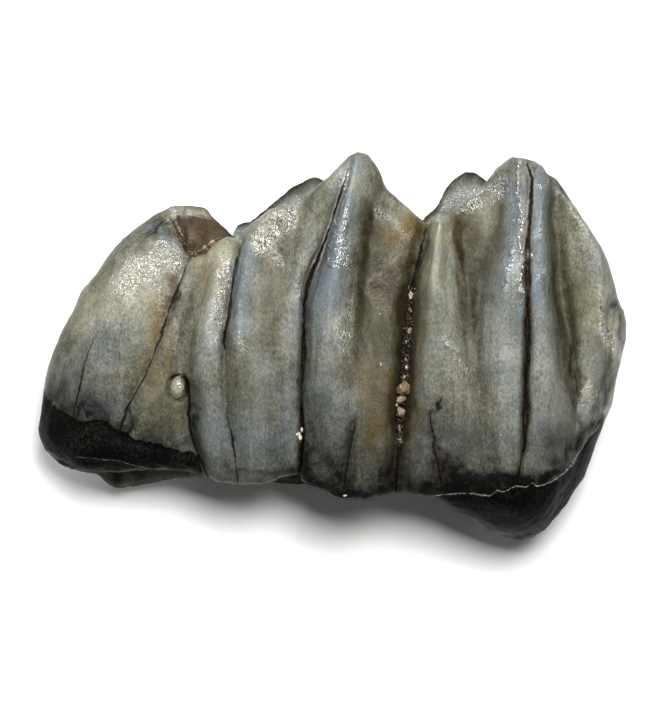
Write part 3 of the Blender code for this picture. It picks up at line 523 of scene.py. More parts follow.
def tongueWall(s, v):
    # Skinned wall, less a bell for each soft groove and each crack, with a quarter round at
    # the root end and at the chewing lip, a step below the broken enamel and one bead.
    x, y, z, runs = skin(tongueLines, outlines["tongue rim"], outlines["tongue base"], s, v)
    for name, halfWidth, *depths in softGrooves:
        z -= flow(v, threeHeights, depths) * bell(x - runs[name][0], halfWidth)
    offset, width, depth = nearestCrack(x, y)
    z -= depth * bell(offset, np.maximum(width, crackForm["least"]) * crackForm["sharpness"])
    for path, stepHeight, stepWidth, reach in ledges.values():
        edgeX, edgeY = np.array(path[::-1]).T
        side = (x - np.interp(y, edgeY, edgeX)) * np.sign(reach)
        fade = ease(y, edgeY[0], edgeY[0] + ledgeFade) * ease(side, -stepWidth, stepWidth)
        z -= stepHeight * fade * bell(side, abs(reach))
    above, lineWidth, step = besideLine(x, y, enamelEdge)
    z -= step * ease(above, *edgeForm["step"])
    z += raisedLine(above, lineWidth, *edgeForm["edge"])
    z += raisedLine(*besideLine(x, y, necklaceLine), *edgeForm["necklace"])
    turns = np.array(rootTurn)
    radius, share = flow(x[:, 0], turns[:, 0], turns[:, 1:]).T
    turned = share[:, None] * (1.0 - quarterRound((y - y[:, :1]) / radius[:, None]))
    z = toothForm["backSeam"] + (z - toothForm["backSeam"]) * (1.0 - turned)
    lip = toothForm["chewingLip"]
    z -= lip * (1.0 - quarterRound((y[:, -1:] - y) / lip))
    ring = ringAt(x, y, enamelPearl)
    moatDepth, moatAt, moatWidth = edgeForm["pearlMoat"]
    steepness, fullness = edgeForm["pearlDome"]
    z -= moatDepth * bell(ring - moatAt, moatWidth)
    z += enamelPearl[4] * quarterRound((1.0 - ring) * steepness) * fullness
    return closeEnds(x, y, z, v, toothForm["backRounding"], toothForm["frontRounding"])


def raisedLine(above, lineWidth, height, at, halfWidth):
    # A ridge along a pale line: a bell of the distance above it, where the line has a width.
    return height * ease(lineWidth, 0.0, edgeForm["fullWidth"]) * bell(above - at, halfWidth)


def cheekWall(s, v):
    # Skinned lobes with a quarter round at both edges, flattened where they meet the table.
    ends = {name: [(x, y, height) for x, y, z in tongueLines[name]]
            for name, height in zip(("back end", "front end"), toothForm["cheekEnds"])}
    lines = {"back end": ends["back end"], **cheekLines, "front end": ends["front end"]}
    x, y, z = skin(lines, outlines["cheek rim"], outlines["cheek base"], s, v)[:3]
    lip, rounding = toothForm["cheekLip"], toothForm["cheekRounding"]
    z += lip * (1.0 - quarterRound((y[:, -1:] - y) / lip))
    z += lip * (1.0 - quarterRound((y - y[:, :1]) / lip))
    z = np.maximum(z - knob(x, y, basalPillar), 0.0)
    return closeEnds(x, y, z, v, rounding, rounding)


def bridge(start, end, sink, rows):
    # Straight from one edge to the other, moved along y by sink times a sine hump.
    u = np.linspace(0.0, 1.0, rows + 1)[1:-1, None]
    flat = start[:, None] + (end - start)[:, None] * u
    flat[:, :, 1] += sink[:, None] * np.sin(np.pi * u[:, 0]) ** toothForm["bridgeHump"]
    return flat


def columnPlaces():
    # Columns crowd beside the cracks: places at which the running total of the density, one
    # plus a bell at each crack, reaches equal shares.
    knots = dict(zip(tongueLines, linePlaces(tongueLines)))
    at = np.linspace(0.0, 1.0, toothForm["fineSteps"])
    reach = toothForm["crackReach"] / toothForm["length"]
    density = np.ones_like(at)
    for groove in softGrooves:
        density += toothForm["crackCrowding"] * bell(at - knots[groove[0]], reach)
    total = np.cumsum(density)
    total = (total - total[0]) / (total[-1] - total[0])
    return np.interp(np.linspace(0.0, 1.0, toothForm["columns"]), total, at)


def ringTriangles(columns, rows, cheek, tongue):
    # Two triangles for each cell of the ring grid, numbered column by column. The cheek wall
    # has a row for four of the tongue wall, so at both ends its cells fan out to the tongue
    # wall's own points.
    i, j = np.meshgrid(np.arange(columns - 1), np.arange(rows), indexing="ij")
    inCheek = (j >= cheek[0]) & (j < cheek[-1])
    plain = ~(inCheek & ((i == 0) | (i == columns - 2)))
    i, j = i[plain], j[plain]
    up = (j + 1) % rows
    corner, across = i * rows + j, (i + 1) * rows + j
    far, nearUp = (i + 1) * rows + up, i * rows + up
    step = toothForm["cheekStep"]
    high, low = cheek[:-1], cheek[1:]
    back = [tongue[::-1][step - k::step][:len(low)] for k in range(step)]   # upwards in a cell
    end, near = (columns - 1) * rows, (columns - 2) * rows
    front = [item + end for item in back]
    groups = [
        (corner, across, far), (corner, far, nearUp),
        (rows + high, rows + low, back[2]), (rows + low, low, back[1]),
        (rows + low, back[1], back[2]), (rows + high, back[2], back[3]),
        (rows + high, back[3], high),
        (near + high, end + high, front[3]), (near + high, front[3], front[2]),
        (near + high, front[2], near + low), (near + low, front[2], front[1]),
        (near + low, front[1], end + low),
    ]
    return np.concatenate([np.stack(corners, -1) for corners in groups])


def vertexNormals(points, triangles):
    # Unit normals: the sum of the cross products of the triangles around each point.
    a, b, c = points[triangles].transpose(1, 0, 2)
    cross = np.cross(b - a, c - a)
    total = np.zeros_like(points)
    for axis in range(3):
        for corner in range(3):
            total[:, axis] += np.bincount(triangles[:, corner], cross[:, axis], len(points))
    return total / np.maximum(np.linalg.norm(total, axis=1, keepdims=True), tiny)


def hollows(rings):
    # How far each point of the tongue wall lies below the mean of the wall's height beside it,
    # taken at several distances to the left and the right in the same row.
    sunk = np.zeros(rings.shape[:2])
    away = np.array(hollowForm["away"])
    for row in range(toothForm["tongueRows"] + 1):
        x, z = rings[:, row, [0, 2]].T
        beside = np.interp(x[:, None] + away, x, z).mean(axis=1)
        inside = ease(x - x[0], *hollowForm["atBack"]) * ease(x[-1] - x, *hollowForm["atFront"])
        sunk[:, row] = (beside - z) * inside
    return sunk


def crown():
    # The closed tooth: rings of tongue wall, chewing surface, cheek wall and root end, joined
    # where they meet. Also each point's place round the ring: 0 to 1 up the tongue wall, 1 to 2
    # across the top, 2 to 3 down the cheek wall, 3 to 4 under the root end.
    s = columnPlaces()
    topRows, underRows = toothForm["topRows"], toothForm["underRows"]
    tongueV = np.linspace(0.0, 1.0, toothForm["tongueRows"] + 1)
    cheekV = tongueV[::toothForm["cheekStep"]]
    tongue, cheek = tongueWall(s, tongueV), cheekWall(s, cheekV)
    sink = -flow(tongue[:, -1, 0], *np.array(fossettes).T)
    hollow = flow(tongue[:, 0, 0], *np.array(rootHollow).T)
    top = bridge(tongue[:, -1], cheek[:, -1], sink, topRows)
    top[..., 2] += knob(top[..., 0], top[..., 1], dentinePlug)
    under = bridge(cheek[:, 0], tongue[:, 0], hollow, underRows)
    rings = np.concatenate([tongue, top, cheek[:, ::-1], under], axis=1)
    place = np.concatenate([tongueV, 1.0 + np.linspace(0, 1, topRows + 1)[1:-1],
                            3.0 - cheekV[::-1], 3.0 + np.linspace(0, 1, underRows + 1)[1:-1]])
    columns, rows = rings.shape[:2]
    cheekRows = toothForm["tongueRows"] + topRows + np.arange(len(cheekV))
    triangles = ringTriangles(columns, rows, cheekRows, np.arange(len(tongueV)))
    points = rings.reshape(-1, 3)
    keys = np.round(points / weldDistance).astype(np.int64)
    first, same = np.unique(keys, axis=0, return_index=True, return_inverse=True)[1:]
    a, b, c = same.reshape(-1)[triangles].T
    triangles = np.stack([a, b, c], -1)[(a != b) & (b != c) & (c != a)]
    return points[first], triangles, np.tile(place, columns)[first], hollows(rings).ravel()[first]


def roughen(points, triangles, place):
    # Moves each point along its normal by the sum of waves of several lengths. The broken root
    # end and the chewing surface get more, and where the tooth rests it gets none.
    share = {"brokenRoot": 1.0 - span(place, *reliefSpans["unbroken"]),
             "chewing": span(place, *reliefSpans["chewing"])}
    move = 0.0
    for number, (name, (length, height)) in enumerate(toothRelief.items()):
        at = points * ribStretch if name == "ribs" else points
        move = move + height * share.get(name, 1.0) * waves(at, length, reliefSeed + number)
    move *= ease(points[:, 2], 0.0, reliefStart)
    moved = points + vertexNormals(points, triangles) * move[:, None]
    moved[:, 2] = np.maximum(moved[:, 2], 0.0)
    return moved


def strokeMask(points, strokes, seed):
    # Brush strokes: each is a bell of the distance to its own short line, and they add up as
    # one less the product of what each leaves. Slow waves bend their edges.
    slow, quick, alongTooth = (height * waves(points, length, seed + number)
                               for number, (length, height) in enumerate(brushWaves))
    x, y = points[:, 0] + slow + quick, points[:, 1] + alongTooth
    left = np.ones(len(points))
    for x0, y0, x1, y1, halfWidth, strength in strokes:
        alongX, alongY = x1 - x0, y1 - y0
        share = ((x - x0) * alongX + (y - y0) * alongY) / (alongX ** 2 + alongY ** 2)
        share = np.clip(share, 0.0, 1.0)
        distance = np.hypot(x - x0 - share * alongX, y - y0 - share * alongY)
        left *= 1.0 - strength * bell(distance, halfWidth)
    return 1.0 - left


# darkening towards the root end: (height above it, share), and how strong it is: (x, share)
rootDarkening = [
    (0, 1), (0.2, 0.93), (0.5, 0.82), (1, 0.72), (1.7, 0.58), (2.5, 0.42), (3.6, 0.22), (5.2, 0),
]
rootDarkeningShare = [
    (-10, 0.7), (-5.2, 0.75), (-4.2, 0.52), (-1.4, 0.5), (-0.9, 0.95), (8.5, 0.95),
]
stainAndShadeForm = {       # share of the stain and the painted shade in each place
    "hollow": (0.02, 0.25),     # how deep a hollow is where its dirt and painted shade start and where they are full
    "cheekHollow": (1.6, 3.4),  # height at which the rust of the cheek wall starts and where it is full
    "dirtAndShadeInHollows": 0.42,
    "inTop": 0.7,
    "cheekEdge": 0.85,          # where the chewing surface meets the cheek wall
    "topEdge": 0.45,
    "plugEdge": 0.8,
    "pearlEdge": 0.95,
}

# pale rims beside cracks: from this height, to this height, strength
paleRims = {
    "entoconid fissure": (2.2, 6.4, 0.75),
    "metaconid fissure": (1.8, 6.5, 0.45),
    "heel crack": (0.3, 3.4, 0.25),
}

rimForm = {"gap": 0.045, "halfWidth": 0.028, "fadeIn": 0.8, "fadeOut": 0.2}
# where the black neck starts: above the broken edge, and above the root end of the cheek wall
neckForm = {"tongue": (0.12, -0.05), "cheek": (1.1, 0.6), "fullStep": 0.05}

# the sides of the tooth, by place round the ring: where each starts and where it ends
sideSpans = {
    "tongue": ((-2, -1), (1.86, 1.98)),
    "top": ((1.0, 1.12), (1.9, 2.0)),
    "cheek": ((1.9, 2.05), (2.95, 3.05)),
    "root": ((2.97, 3.06), (5, 6)),
}
topHollow = ((1.1, 1.4), (1.4, 1.72))
stainWaves = ((2.4, 31), (0.9, 32), (0.3, 33))      # wave length, seed
brushSeed = 40
# stains by place: stain, strength, side, and what they follow from nothing to full strength
stainRules = [
    # painted light: lighter where the tongue wall stands above the wall beside it, on its ridges
    ("polishAndLight", 0.35, "tongue", "sunk", -0.05, -0.3),
    ("soot", 0.9, "cheek", "fromCheekBase", 1.6, 0.2),
    ("rust", 1.0, "cheekHollow", "slow", -0.8, 1.2),
    ("umber", 0.6, "cheek", "height", 2.6, 3.6),
    ("cream", 0.45, "cheek", "slow", 0.2, -1.6),
    ("slate", 0.4, "cheek", "quick", 0.0, 1.5),
    ("shine", 0.25, "cheek"),
    ("rust", 0.12, "top", "slow", 1.0, -1.0),
    ("slate", 0.35, "top", "place", 1.2, 1.5),
    ("shine", 0.55, "top", "place", 1.2, 1.7),
    ("polishAndLight", 0.45, "top", "place", 1.5, 1.65),
    ("soot", 0.75, "root", "quick", -1.6, 1.6),
    ("umber", 0.9, "root"),
]

# brush strokes of the tongue side: (x0, y0, x1, y1, half width, strength)
paint = {
    # pale polish, partly painted light: strokes that lighten the entoconid ridge's tip and the
    # shaded sides of the column right of the middle groove
    "polishAndLight": [
        (-3, -0.8, -2.3, -1.9, 0.43, 0.25), (3.8, 4.4, 3.8, 3.1, 0.32, 0.32),
        (4.2, 4, 4.4, 1.8, 0.29, 0.45), (5.3, 5, 5.5, 4, 0.36, 0.25),
        (5.2, 2.7, 5.2, 1.7, 0.25, 0.2), (8, -1, 8.3, -1.8, 0.32, 0.28),
        (1.4, 1, 1.8, 0.3, 0.29, 0.12), (3.47, 4, 3.4, 0.76, 0.18, 0.35),
        (3.8, 0.8, 3.9, -0.3, 0.32, 0.25), (-2.5, 2.2, -2.7, -2.1, 0.47, 0.38),
        (-4.7, -1, -4.5, -2.5, 0.25, 0.22), (5.3, 4.9, 5.3, 1.8, 0.32, 0.28),
        (8.2, -0.9, 8.2, -1.8, 0.32, 0.3), (-0.3, 0.9, 0.4, 0.2, 0.5, 0.39),
        (5.8, 0.8, 6.4, 0, 0.58, 0.55), (5.5, -0.5, 6, 0, 0.43, 0.33),
        (7.5, 0.4, 7.8, -0.7, 0.29, 0.28), (0.4, 6.6, 0.6, 5.4, 0.25, 0.5),
        (3.9, 4.5, 3.7, 3.6, 0.29, 0.3), (-1.17, 2.12, -1.31, 1.48, 0.18, 0.5),
        (-6.6, 0.8, -7.3, 0.4, 0.43, 0.2), (6.5, 2.2, 6.3, 1.5, 0.29, 0.3)],
    "cream": [
        (-2.7, 4.3, -1.7, 1.8, 0.43, 0.3), (9.1, 2.7, 9.3, 1.4, 0.36, 0.2),
        (1.13, 2.12, 2.93, 3.64, 0.05, 0.75), (3.8, 4.5, 3.9, 2.7, 0.47, 0.35),
        # cream, partly painted highlight: both strokes below brighten the parastylid's lit edge
        (9.56, 2.38, 9.85, 1.19, 0.22, 0.2), (9.92, 1.12, 10.06, 0.22, 0.18, 0.35),
        (5.4, 4.9, 5.1, 3.6, 0.36, 0.4), (-8.4, 1.5, -6.6, 3.2, 0.58, 0.29),
        (-7.6, 2.2, -6.6, 1.8, 0.65, 0.23), (-6.6, 1.8, -6.2, 0.8, 0.36, 0.3),
        (-9.3, 0.8, -8.4, 2.2, 0.29, 0.2), (-4.6, 3.2, -3.7, 3.6, 0.43, 0.75),
        (-4.4, 2.7, -4, 4, 0.29, 0.4), (-4.3, 2.2, -4, 0.8, 0.36, 0.35),
        (-5.78, 5.08, -4.41, 4.97, 0.18, 0.95), (-2.8, 4.9, -1.5, 5.3, 0.29, 0.35),
        (-6.57, -1.58, -6.28, -1.22, 0.22, 0.35), (0.4, 6.5, 0.6, 6, 0.29, 0.35),
        (2.2, 4.6, 2.8, 4.9, 0.29, 0.35), (3.6, 4.5, 4, 4, 0.32, 0.6),
        (3.5, 3.3, 4, 1.8, 0.43, 0.35), (8.4, 4.5, 8.7, 3.5, 0.36, 0.3),
        (9.3, 2.4, 9.8, 1.8, 0.29, 0.35), (9.1, 0.9, 9.6, 1.3, 0.25, 0.45),
        # cream, partly painted highlight: both strokes below brighten lit spots on the parastylid
        # and below it
        (9.9, 0.4, 10.3, 0.8, 0.25, 0.6), (9.3, -1.6, 9.6, -1.8, 0.25, 0.6),
        (-1.35, 1.84, -1.1, 2.2, 0.18, 0.35)],
    "rust": [
        (-4.5, 2.8, -4, 3.4, 0.32, 0.32), (1.4, 4, 2.9, 4.6, 0.32, 0.42),
        (1.9, 3.1, 2, 1.8, 0.43, 0.35), (1.3, -1.2, 1.6, -2.6, 0.43, 0.35),
        (2.2, -0.9, 2.1, -3.9, 0.29, 0.36), (2.86, -1.04, 2.72, -3.2, 0.18, 0.25),
        (9.41, 1.69, 9.63, 1.12, 0.22, 0.2), (-5.9, 2.2, -6.5, 0.6, 0.29, 0.45),
        (-5.78, 2.99, -5.99, 1.84, 0.22, 0.35), (3.51, 3.64, 3.22, 2.2, 0.09, 0.4),
        (-4.6, 3.2, -4, 2.9, 0.29, 0.22), (1.42, 1.84, 2.86, 3.64, 0.11, 0.35),
        (2.72, 3.82, 3.22, 4.54, 0.18, 0.5), (2.72, -2.84, 2.5, -4.28, 0.18, 0.5),
        (4.3, 4.79, 4.66, 3.2, 0.18, 0.5), (-6.57, 0.04, -6.93, -0.76, 0.22, 0.35),
        (2.36, 4, 2.97, 4.43, 0.22, 0.35), (-6, 1.8, -6.4, 0.6, 0.29, 0.7),
        (-5.78, 2.74, -6.03, 1.84, 0.22, 0.4), (-6.3, 0.2, -7.3, -0.7, 0.29, 0.3),
        (-6.6, -1.4, -6, -0.5, 0.32, 0.55), (-6.03, -0.14, -5.85, 0.76, 0.18, 0.5),
        (-6.2, -1.8, -6.6, -2.1, 0.29, 0.35), (-5.2, -1.76, -5.27, -1.04, 0.14, 0.4),
        (-5.31, -1.04, -5.38, -2.48, 0.14, 0.35), (-4.6, 2.7, -4.2, 2.2, 0.29, 0.35),
        (-2.4, 4.2, -2.5, 3.5, 0.25, 0.25), (-2.2, 0.4, -2.5, 1.5, 0.36, 0.2),
        (2.4, 4.2, 3.1, 4.6, 0.32, 0.75), (1.9, 4.9, 2.6, 4.4, 0.32, 0.45),
        (2.61, 3.46, 1.89, 2.92, 0.18, 0.3), (1.9, -1.8, 1.5, -3.2, 0.32, 0.7),
        (2.14, -1.04, 2, -2.12, 0.22, 0.7), (1.2, -0.5, 1.3, -1.8, 0.29, 0.35),
        (0.8, 0.8, 0.7, -0.7, 0.29, 0.25), (1.1, -3.2, 1.9, -3.9, 0.25, 0.3),
        (3.08, 0.76, 3.01, -1.76, 0.14, 0.5), (3.15, 2.56, 3.08, 1.12, 0.14, 0.35),
        (2.97, -2.12, 2.86, -3.2, 0.18, 0.5), (4.41, 4.54, 4.66, 3.28, 0.14, 0.75),
        (4.66, 3.28, 4.81, 1.12, 0.14, 0.5), (4.3, 5, 4.88, 5.15, 0.18, 0.5),
        (4.81, 1.12, 4.88, 0.4, 0.11, 0.3), (5.3, 4.9, 4.9, 4.2, 0.29, 0.3),
        (9.99, 0.76, 9.85, 1.04, 0.14, 0.7), (9.63, 1.48, 9.45, 0.94, 0.22, 0.35),
        (8.37, 0.04, 8.55, -1.22, 0.18, 0.3), (9, 0.6, 9.6, 0.2, 0.25, 0.25)],
    "umber": [
        # painted shade: the second stroke below darkens the notch beside the parastylid
        (0.99, 1.84, 1.21, 0.76, 0.22, 0.12), (9.85, 1.19, 10.03, 0.76, 0.11, 0.5),
        (-6.57, 4.14, -5.92, 4.5, 0.18, 0.35), (1.9, 3, 2, 1.8, 0.32, 0.28),
        (1.42, 1.91, 3.08, 3.35, 0.09, 0.6), (1.21, 1.84, 1.42, 0.04, 0.14, 0.35),
        (7.15, 6.52, 7.04, 2.2, 0.11, 0.45), (1.21, 1.98, 2.43, 3.2, 0.14, 0.45),
        (2.43, 3.2, 3.15, 4.14, 0.11, 0.45), (4.95, 3.2, 5.06, 0.76, 0.14, 0.35),
        (4.52, 4.64, 4.88, 3.2, 0.13, 0.55), (2.3, -1.2, 2.4, -2.5, 0.25, 0.8),
        (2.79, -1.22, 2.72, -2.48, 0.18, 0.7), (2, -1.58, 2.14, -2.66, 0.18, 0.45),
        (8.66, 0.04, 8.84, -1.76, 0.14, 0.5), (8.84, -1.76, 9.05, -3.2, 0.14, 0.5),
        (2.25, 2.63, 2.93, 3.42, 0.22, 0.5), (2, 2.2, 2.6, 1.8, 0.36, 0.35),
        (0.7, -2.66, 0.52, -4.64, 0.14, 0.45), (4.52, 4.43, 4.7, 3.2, 0.14, 0.5),
        (4.81, 1.84, 5.02, 0.4, 0.18, 0.3), (1.9, 3.5, 1.9, 1.8, 0.5, 0.22),
        (1.6, 0.4, 1.9, -1.8, 0.36, 0.35), (2.83, 2.2, 2.75, 0.4, 0.18, 0.4),
        (2.6, -0.7, 2.4, -2.1, 0.32, 0.6), (-5.74, 2.38, -6.03, 1.3, 0.14, 0.6),
        (-5.45, 3.2, -5.71, 2.38, 0.11, 0.5), (-5.85, 2.2, -5.92, 0.76, 0.11, 0.4),
        (2.57, 1.84, 2.57, 0.76, 0.18, 0.8), (2.61, 0.4, 2.5, -1.76, 0.22, 0.85),
        (2.43, -1.76, 2.36, -3.2, 0.18, 0.8), (2.29, -3.38, 2.18, -4.64, 0.14, 0.7),
        (3.04, 3.2, 2.86, 2.2, 0.11, 0.5), (3.26, 4, 3.04, 3.2, 0.11, 0.6),
        (4.59, 4.28, 4.73, 2.92, 0.11, 0.4), (5, 2.9, 5.1, 0.8, 0.25, 0.45),
        (5.2, 4.2, 5.2, 2.9, 0.36, 0.3), (6.03, 4, 5.6, 1.84, 0.18, 0.35),
        (8.66, 0.22, 8.84, -1.22, 0.14, 0.5), (8.77, -1.22, 8.91, -2.48, 0.14, 0.35),
        (1.17, 4.9, 1.06, 1.84, 0.22, 0.5), (1.3, 4.4, 1.4, 2.2, 0.43, 0.35),
        (2.2, 2.9, 2.6, 1.8, 0.43, 0.45), (2.1, 1.8, 2.2, 0.4, 0.36, 0.3),
        (8.1, 1.8, 8.5, 0.8, 0.5, 0.3)],
    "slate": [
        (0.7, 6.9, 0.4, 5.9, 0.36, 0.45), (-4.6, -2.7, -2.5, -3.2, 0.58, 0.35),
        (-1.2, -1.8, -0.1, -3.7, 0.5, 0.25), (3.5, -3.2, 6.7, -3.2, 0.58, 0.2),
        (-8.7, -1.7, -7.6, -2.2, 0.36, 0.3), (3.8, 3.6, 3.9, 1.8, 0.36, 0.2),
        (0.1, 4.5, -0.1, 3.2, 0.25, 0.35), (0.6, 6.3, 0.2, 4, 0.36, 0.65),
        (0.1, 3.6, -0.3, 2.2, 0.47, 0.85), (-0.4, 2.2, -0.6, 0.8, 0.32, 0.5),
        (-0.7, 0.4, -0.7, -1.8, 0.29, 0.26), (-1.17, 2.2, -1.17, 0.4, 0.22, 0.45),
        (-1.2, 0, -1.3, -1.8, 0.25, 0.22), (-3.3, 3.3, -3.3, 1.1, 0.32, 0.6),
        (-3, 4, -3.1, 3.3, 0.25, 0.4), (-3.9, -2.8, -3.3, -4.1, 0.58, 0.3),
        (-2.2, -3.6, -1.7, -2.8, 0.5, 0.3), (-1.7, -3.2, -1.5, -4.3, 0.29, 0.3),
        (-2.6, -4.3, -1.9, -4.1, 0.29, 0.22), (-8, -1.8, -8.7, -2.2, 0.5, 0.25),
        (-9.8, -1.6, -10.1, -1.8, 0.29, 0.25), (-8.5, 0.4, -8.2, -0.3, 0.36, 0.23),
        (-9.4, -0.7, -9.4, -1.6, 0.29, 0.2), (-6.6, 4.3, -6, 4, 0.29, 0.5),
        (-7.6, 0.4, -8, 0, 0.58, 0.12), (-4.2, 1.5, -4.2, 0, 0.32, 0.35),
        (-4.3, -2.1, -3.9, -1.8, 0.5, 0.19), (-0.3, -1.8, 0.4, -2.1, 0.5, 0.26),
        (6.5, 5.8, 6.5, 3.3, 0.29, 0.55), (6.3, 3.3, 6, 1.5, 0.36, 0.4),
        (7.5, 6.2, 7.4, 2.2, 0.25, 0.85), (7.6, 2.2, 7.6, 1.1, 0.25, 0.35),
        (6.71, 1.84, 6.68, -0.68, 0.11, 0.6), (6.75, -1.04, 6.68, -2.84, 0.14, 0.3),
        (6, -0.7, 6.5, -1.8, 0.43, 0.22), (7.6, -2.8, 7.8, -3.6, 0.5, 0.3),
        (7.29, 1.84, 7.22, -1.76, 0.11, 0.4)],
    "olive": [
        (-7.9, 1.9, -6.6, 3.1, 0.54, 0.28), (-2.5, 4.1, -1.7, 5, 0.36, 0.15),
        (8.8, 2.3, 8.9, 1.2, 0.36, 0.35), (9.4, 1.8, 9.6, 1, 0.25, 0.4),
        (8.8, 2.3, 8.8, 1, 0.32, 0.32), (-6.2, -1.2, -6.2, -1.9, 0.32, 0.22),
        (9.56, 1.84, 9.63, 1.12, 0.22, 0.25), (1.3, 1.8, 2.1, 2.7, 0.36, 0.55),
        (2.1, 2.7, 2.9, 3.4, 0.25, 0.5), (1.4, 0.8, 1.9, -1.8, 0.43, 0.45),
        (1.9, 1.8, 2.2, 0, 0.36, 0.45), (2.4, 0.8, 2.1, -0.8, 0.29, 0.4),
        (-3.3, -0.3, -2.5, -2.5, 0.5, 0.35), (10.06, -0.04, 9.63, -2.3, 0.22, 0.5),
        (0.1, -0.3, 0.6, -2.5, 0.43, 0.25), (3.9, 6.2, 4.9, 5.4, 0.43, 0.3),
        (-6.6, -1, -6, -2.8, 0.58, 0.45), (1.9, 4.2, 2.1, 0.8, 0.58, 0.5),
        (1.5, 1.8, 1.6, -2.8, 0.5, 0.5), (3.5, 1.8, 3.3, -2.5, 0.5, 0.35),
        (-3.3, 2.6, -2.8, 1.8, 0.43, 0.35), (-2.3, 2.7, -2.2, 1.1, 0.36, 0.45),
        (-3.3, 0.2, -2.5, 0.6, 0.43, 0.35), (-3.5, -0.9, -3.3, -2.1, 0.29, 0.4),
        (-0.27, 5.8, -0.67, 4.18, 0.18, 0.5), (-0.74, 4, -0.95, 2.38, 0.18, 0.35),
        (1.28, 5.44, 1.06, 3.28, 0.22, 0.6), (1.06, 3.28, 1.06, 1.12, 0.22, 0.45),
        (1.7, 2.2, 2.1, 0.4, 0.65, 0.3), (0.9, 1.5, 0.6, 0.2, 0.29, 0.35),
        (0.3, 0, 0.8, -1, 0.5, 0.2), (3.9, -2.5, 4.6, -3.2, 0.58, 0.35),
        (3.5, 0.8, 3.9, 1.1, 0.43, 0.2), (4.2, -1.8, 4.9, -2.5, 0.5, 0.3),
        (5.96, 4, 6.03, 5.44, 0.18, 0.35), (6.14, 5.26, 6.07, 4.36, 0.14, 0.4),
        (8.2, 4.7, 7.9, 1.8, 0.25, 0.3), (8.9, 1.8, 8.6, 0.8, 0.5, 0.45),
        (8.7, 2.9, 9.3, 1.8, 0.43, 0.25), (8.4, -1.8, 8.2, -3.2, 0.29, 0.3),
        (-7.5, -0.5, -7.1, -0.3, 0.29, 0.5), (-8, -1.3, -8.5, -1, 0.32, 0.35),
        (-4.8, -1.6, -4, -1.2, 0.36, 0.3), (-5.8, -2.1, -6.2, -2.7, 0.5, 0.25)],
    "soot": [
        (-3, -3.6, -1.9, -3.6, 0.43, 0.12), (7.6, -3.1, 8, -3.7, 0.32, 0.18),
        (5.31, -5.04, 6.89, -4.9, 0.22, 0.85), (10.1, 1.55, 10.42, 1.19, 0.06, 0.75),
        (10.42, 1.19, 10.53, 0.22, 0.07, 0.6), (-5.92, 4.68, -6.28, 4.5, 0.05, 0.9),
        (-6.28, 4.5, -6.68, 4.1, 0.04, 0.8), (4.95, -4.9, 8.19, -4.57, 0.18, 0.6),
        (-9.8, -1.6, -8.1, -2.1, 0.32, 0.35), (-7.25, -2.05, -7.47, -2.99, 0.11, 0.8),
        (9.85, 1.98, 9.95, 1.62, 0.07, 0.6), (0.7, -2.66, 0.49, -4.64, 0.09, 0.4),
        (10.06, 0.22, 9.81, -2.48, 0.14, 0.4), (9.09, -3.2, 9.63, -2.41, 0.14, 0.5),
        (-9.8, 0, -8.5, -1.9, 0.72, 0.35), (-8.2, 0.6, -7.7, 0, 0.5, 0.2),
        (-10.24, -1.04, -10.46, -2.48, 0.22, 0.5), (3.62, -2.12, 3.87, -4.46, 0.14, 0.5),
        (6.97, 6.7, 7.04, 5.98, 0.11, 0.5), (0.4, -3.2, 0.3, -5.2, 0.32, 0.35),
        (-0.81, -2.84, -0.88, -5, 0.18, 0.4), (8.19, -4.28, 9.27, -2.84, 0.22, 0.4),
        (-5.63, 2.2, -5.99, 0.94, 0.09, 0.4), (-1.53, -0.14, -1.31, -2.48, 0.18, 0.2),
        (-10.3, -1.7, -9.1, -2.2, 0.29, 0.5), (-9.1, -2.2, -7.5, -2.8, 0.25, 0.6),
        (3.4, -1.8, 3.3, -3.6, 0.36, 0.25), (3.5, -4.9, 7.6, -4.7, 0.29, 0.97),
        (5.3, -4.6, 8.2, -4.4, 0.25, 0.9), (7.1, -3.2, 8.9, -3.2, 0.5, 0.4),
        (8.2, -3.7, 8.5, -4, 0.32, 0.5), (-0.4, -1.8, -0.1, -3.9, 0.58, 0.3),
        (-8.91, -2.48, -7.47, -3.02, 0.22, 0.8), (-9.81, -1.94, -9.27, -2.3, 0.22, 0.4),
        (-7.47, -3.2, -6.21, -3.56, 0.22, 0.7), (-6.57, -3.2, -5.13, -3.38, 0.22, 0.4),
        (-8.37, -2.2, -7.65, -2.48, 0.22, 0.5), (-5.24, -1.76, -4.88, -3.56, 0.11, 0.6),
        # painted shade: the first stroke below darkens the back lobe's left edge
        (-9.99, -1.4, -10.17, -1.76, 0.18, 0.4), (-3.33, -4.32, -1.35, -4.21, 0.09, 0.5),
        # painted shadow: the first stroke below fills the gap between the lobes at the root end
        (-1.6, -4.6, -1, -4.5, 0.29, 0.9), (-1.17, -3.2, -1.06, -4.28, 0.18, 0.8),
        (-0.81, -4.82, 0.45, -5.29, 0.18, 0.7), (0.45, -5.29, 2.07, -5.08, 0.22, 0.75),
        (1.9, -4.3, 2.2, -5, 0.32, 0.5), (0.27, -4.64, 0.63, -2.84, 0.18, 0.25),
        (0.8, -3.2, 1.7, -4.3, 0.36, 0.2), (2.43, -5.08, 3.51, -4.72, 0.22, 0.5),
        (3.5, -4.8, 6.7, -4.8, 0.43, 0.95), (3.9, -4.1, 5.3, -4.6, 0.32, 0.7),
        (6.7, -4.8, 7.6, -4.6, 0.29, 0.7), (5.3, -4.6, 6.7, -4.5, 0.29, 0.7),
        (1.42, 5.26, 1.28, 4.36, 0.14, 0.4), (1.1, 4.36, 1.06, 2.2, 0.14, 0.35),
        (3.62, -3.2, 3.8, -4.28, 0.11, 0.5), (3.83, -1.76, 3.8, -1.87, 0.06, 0.95),
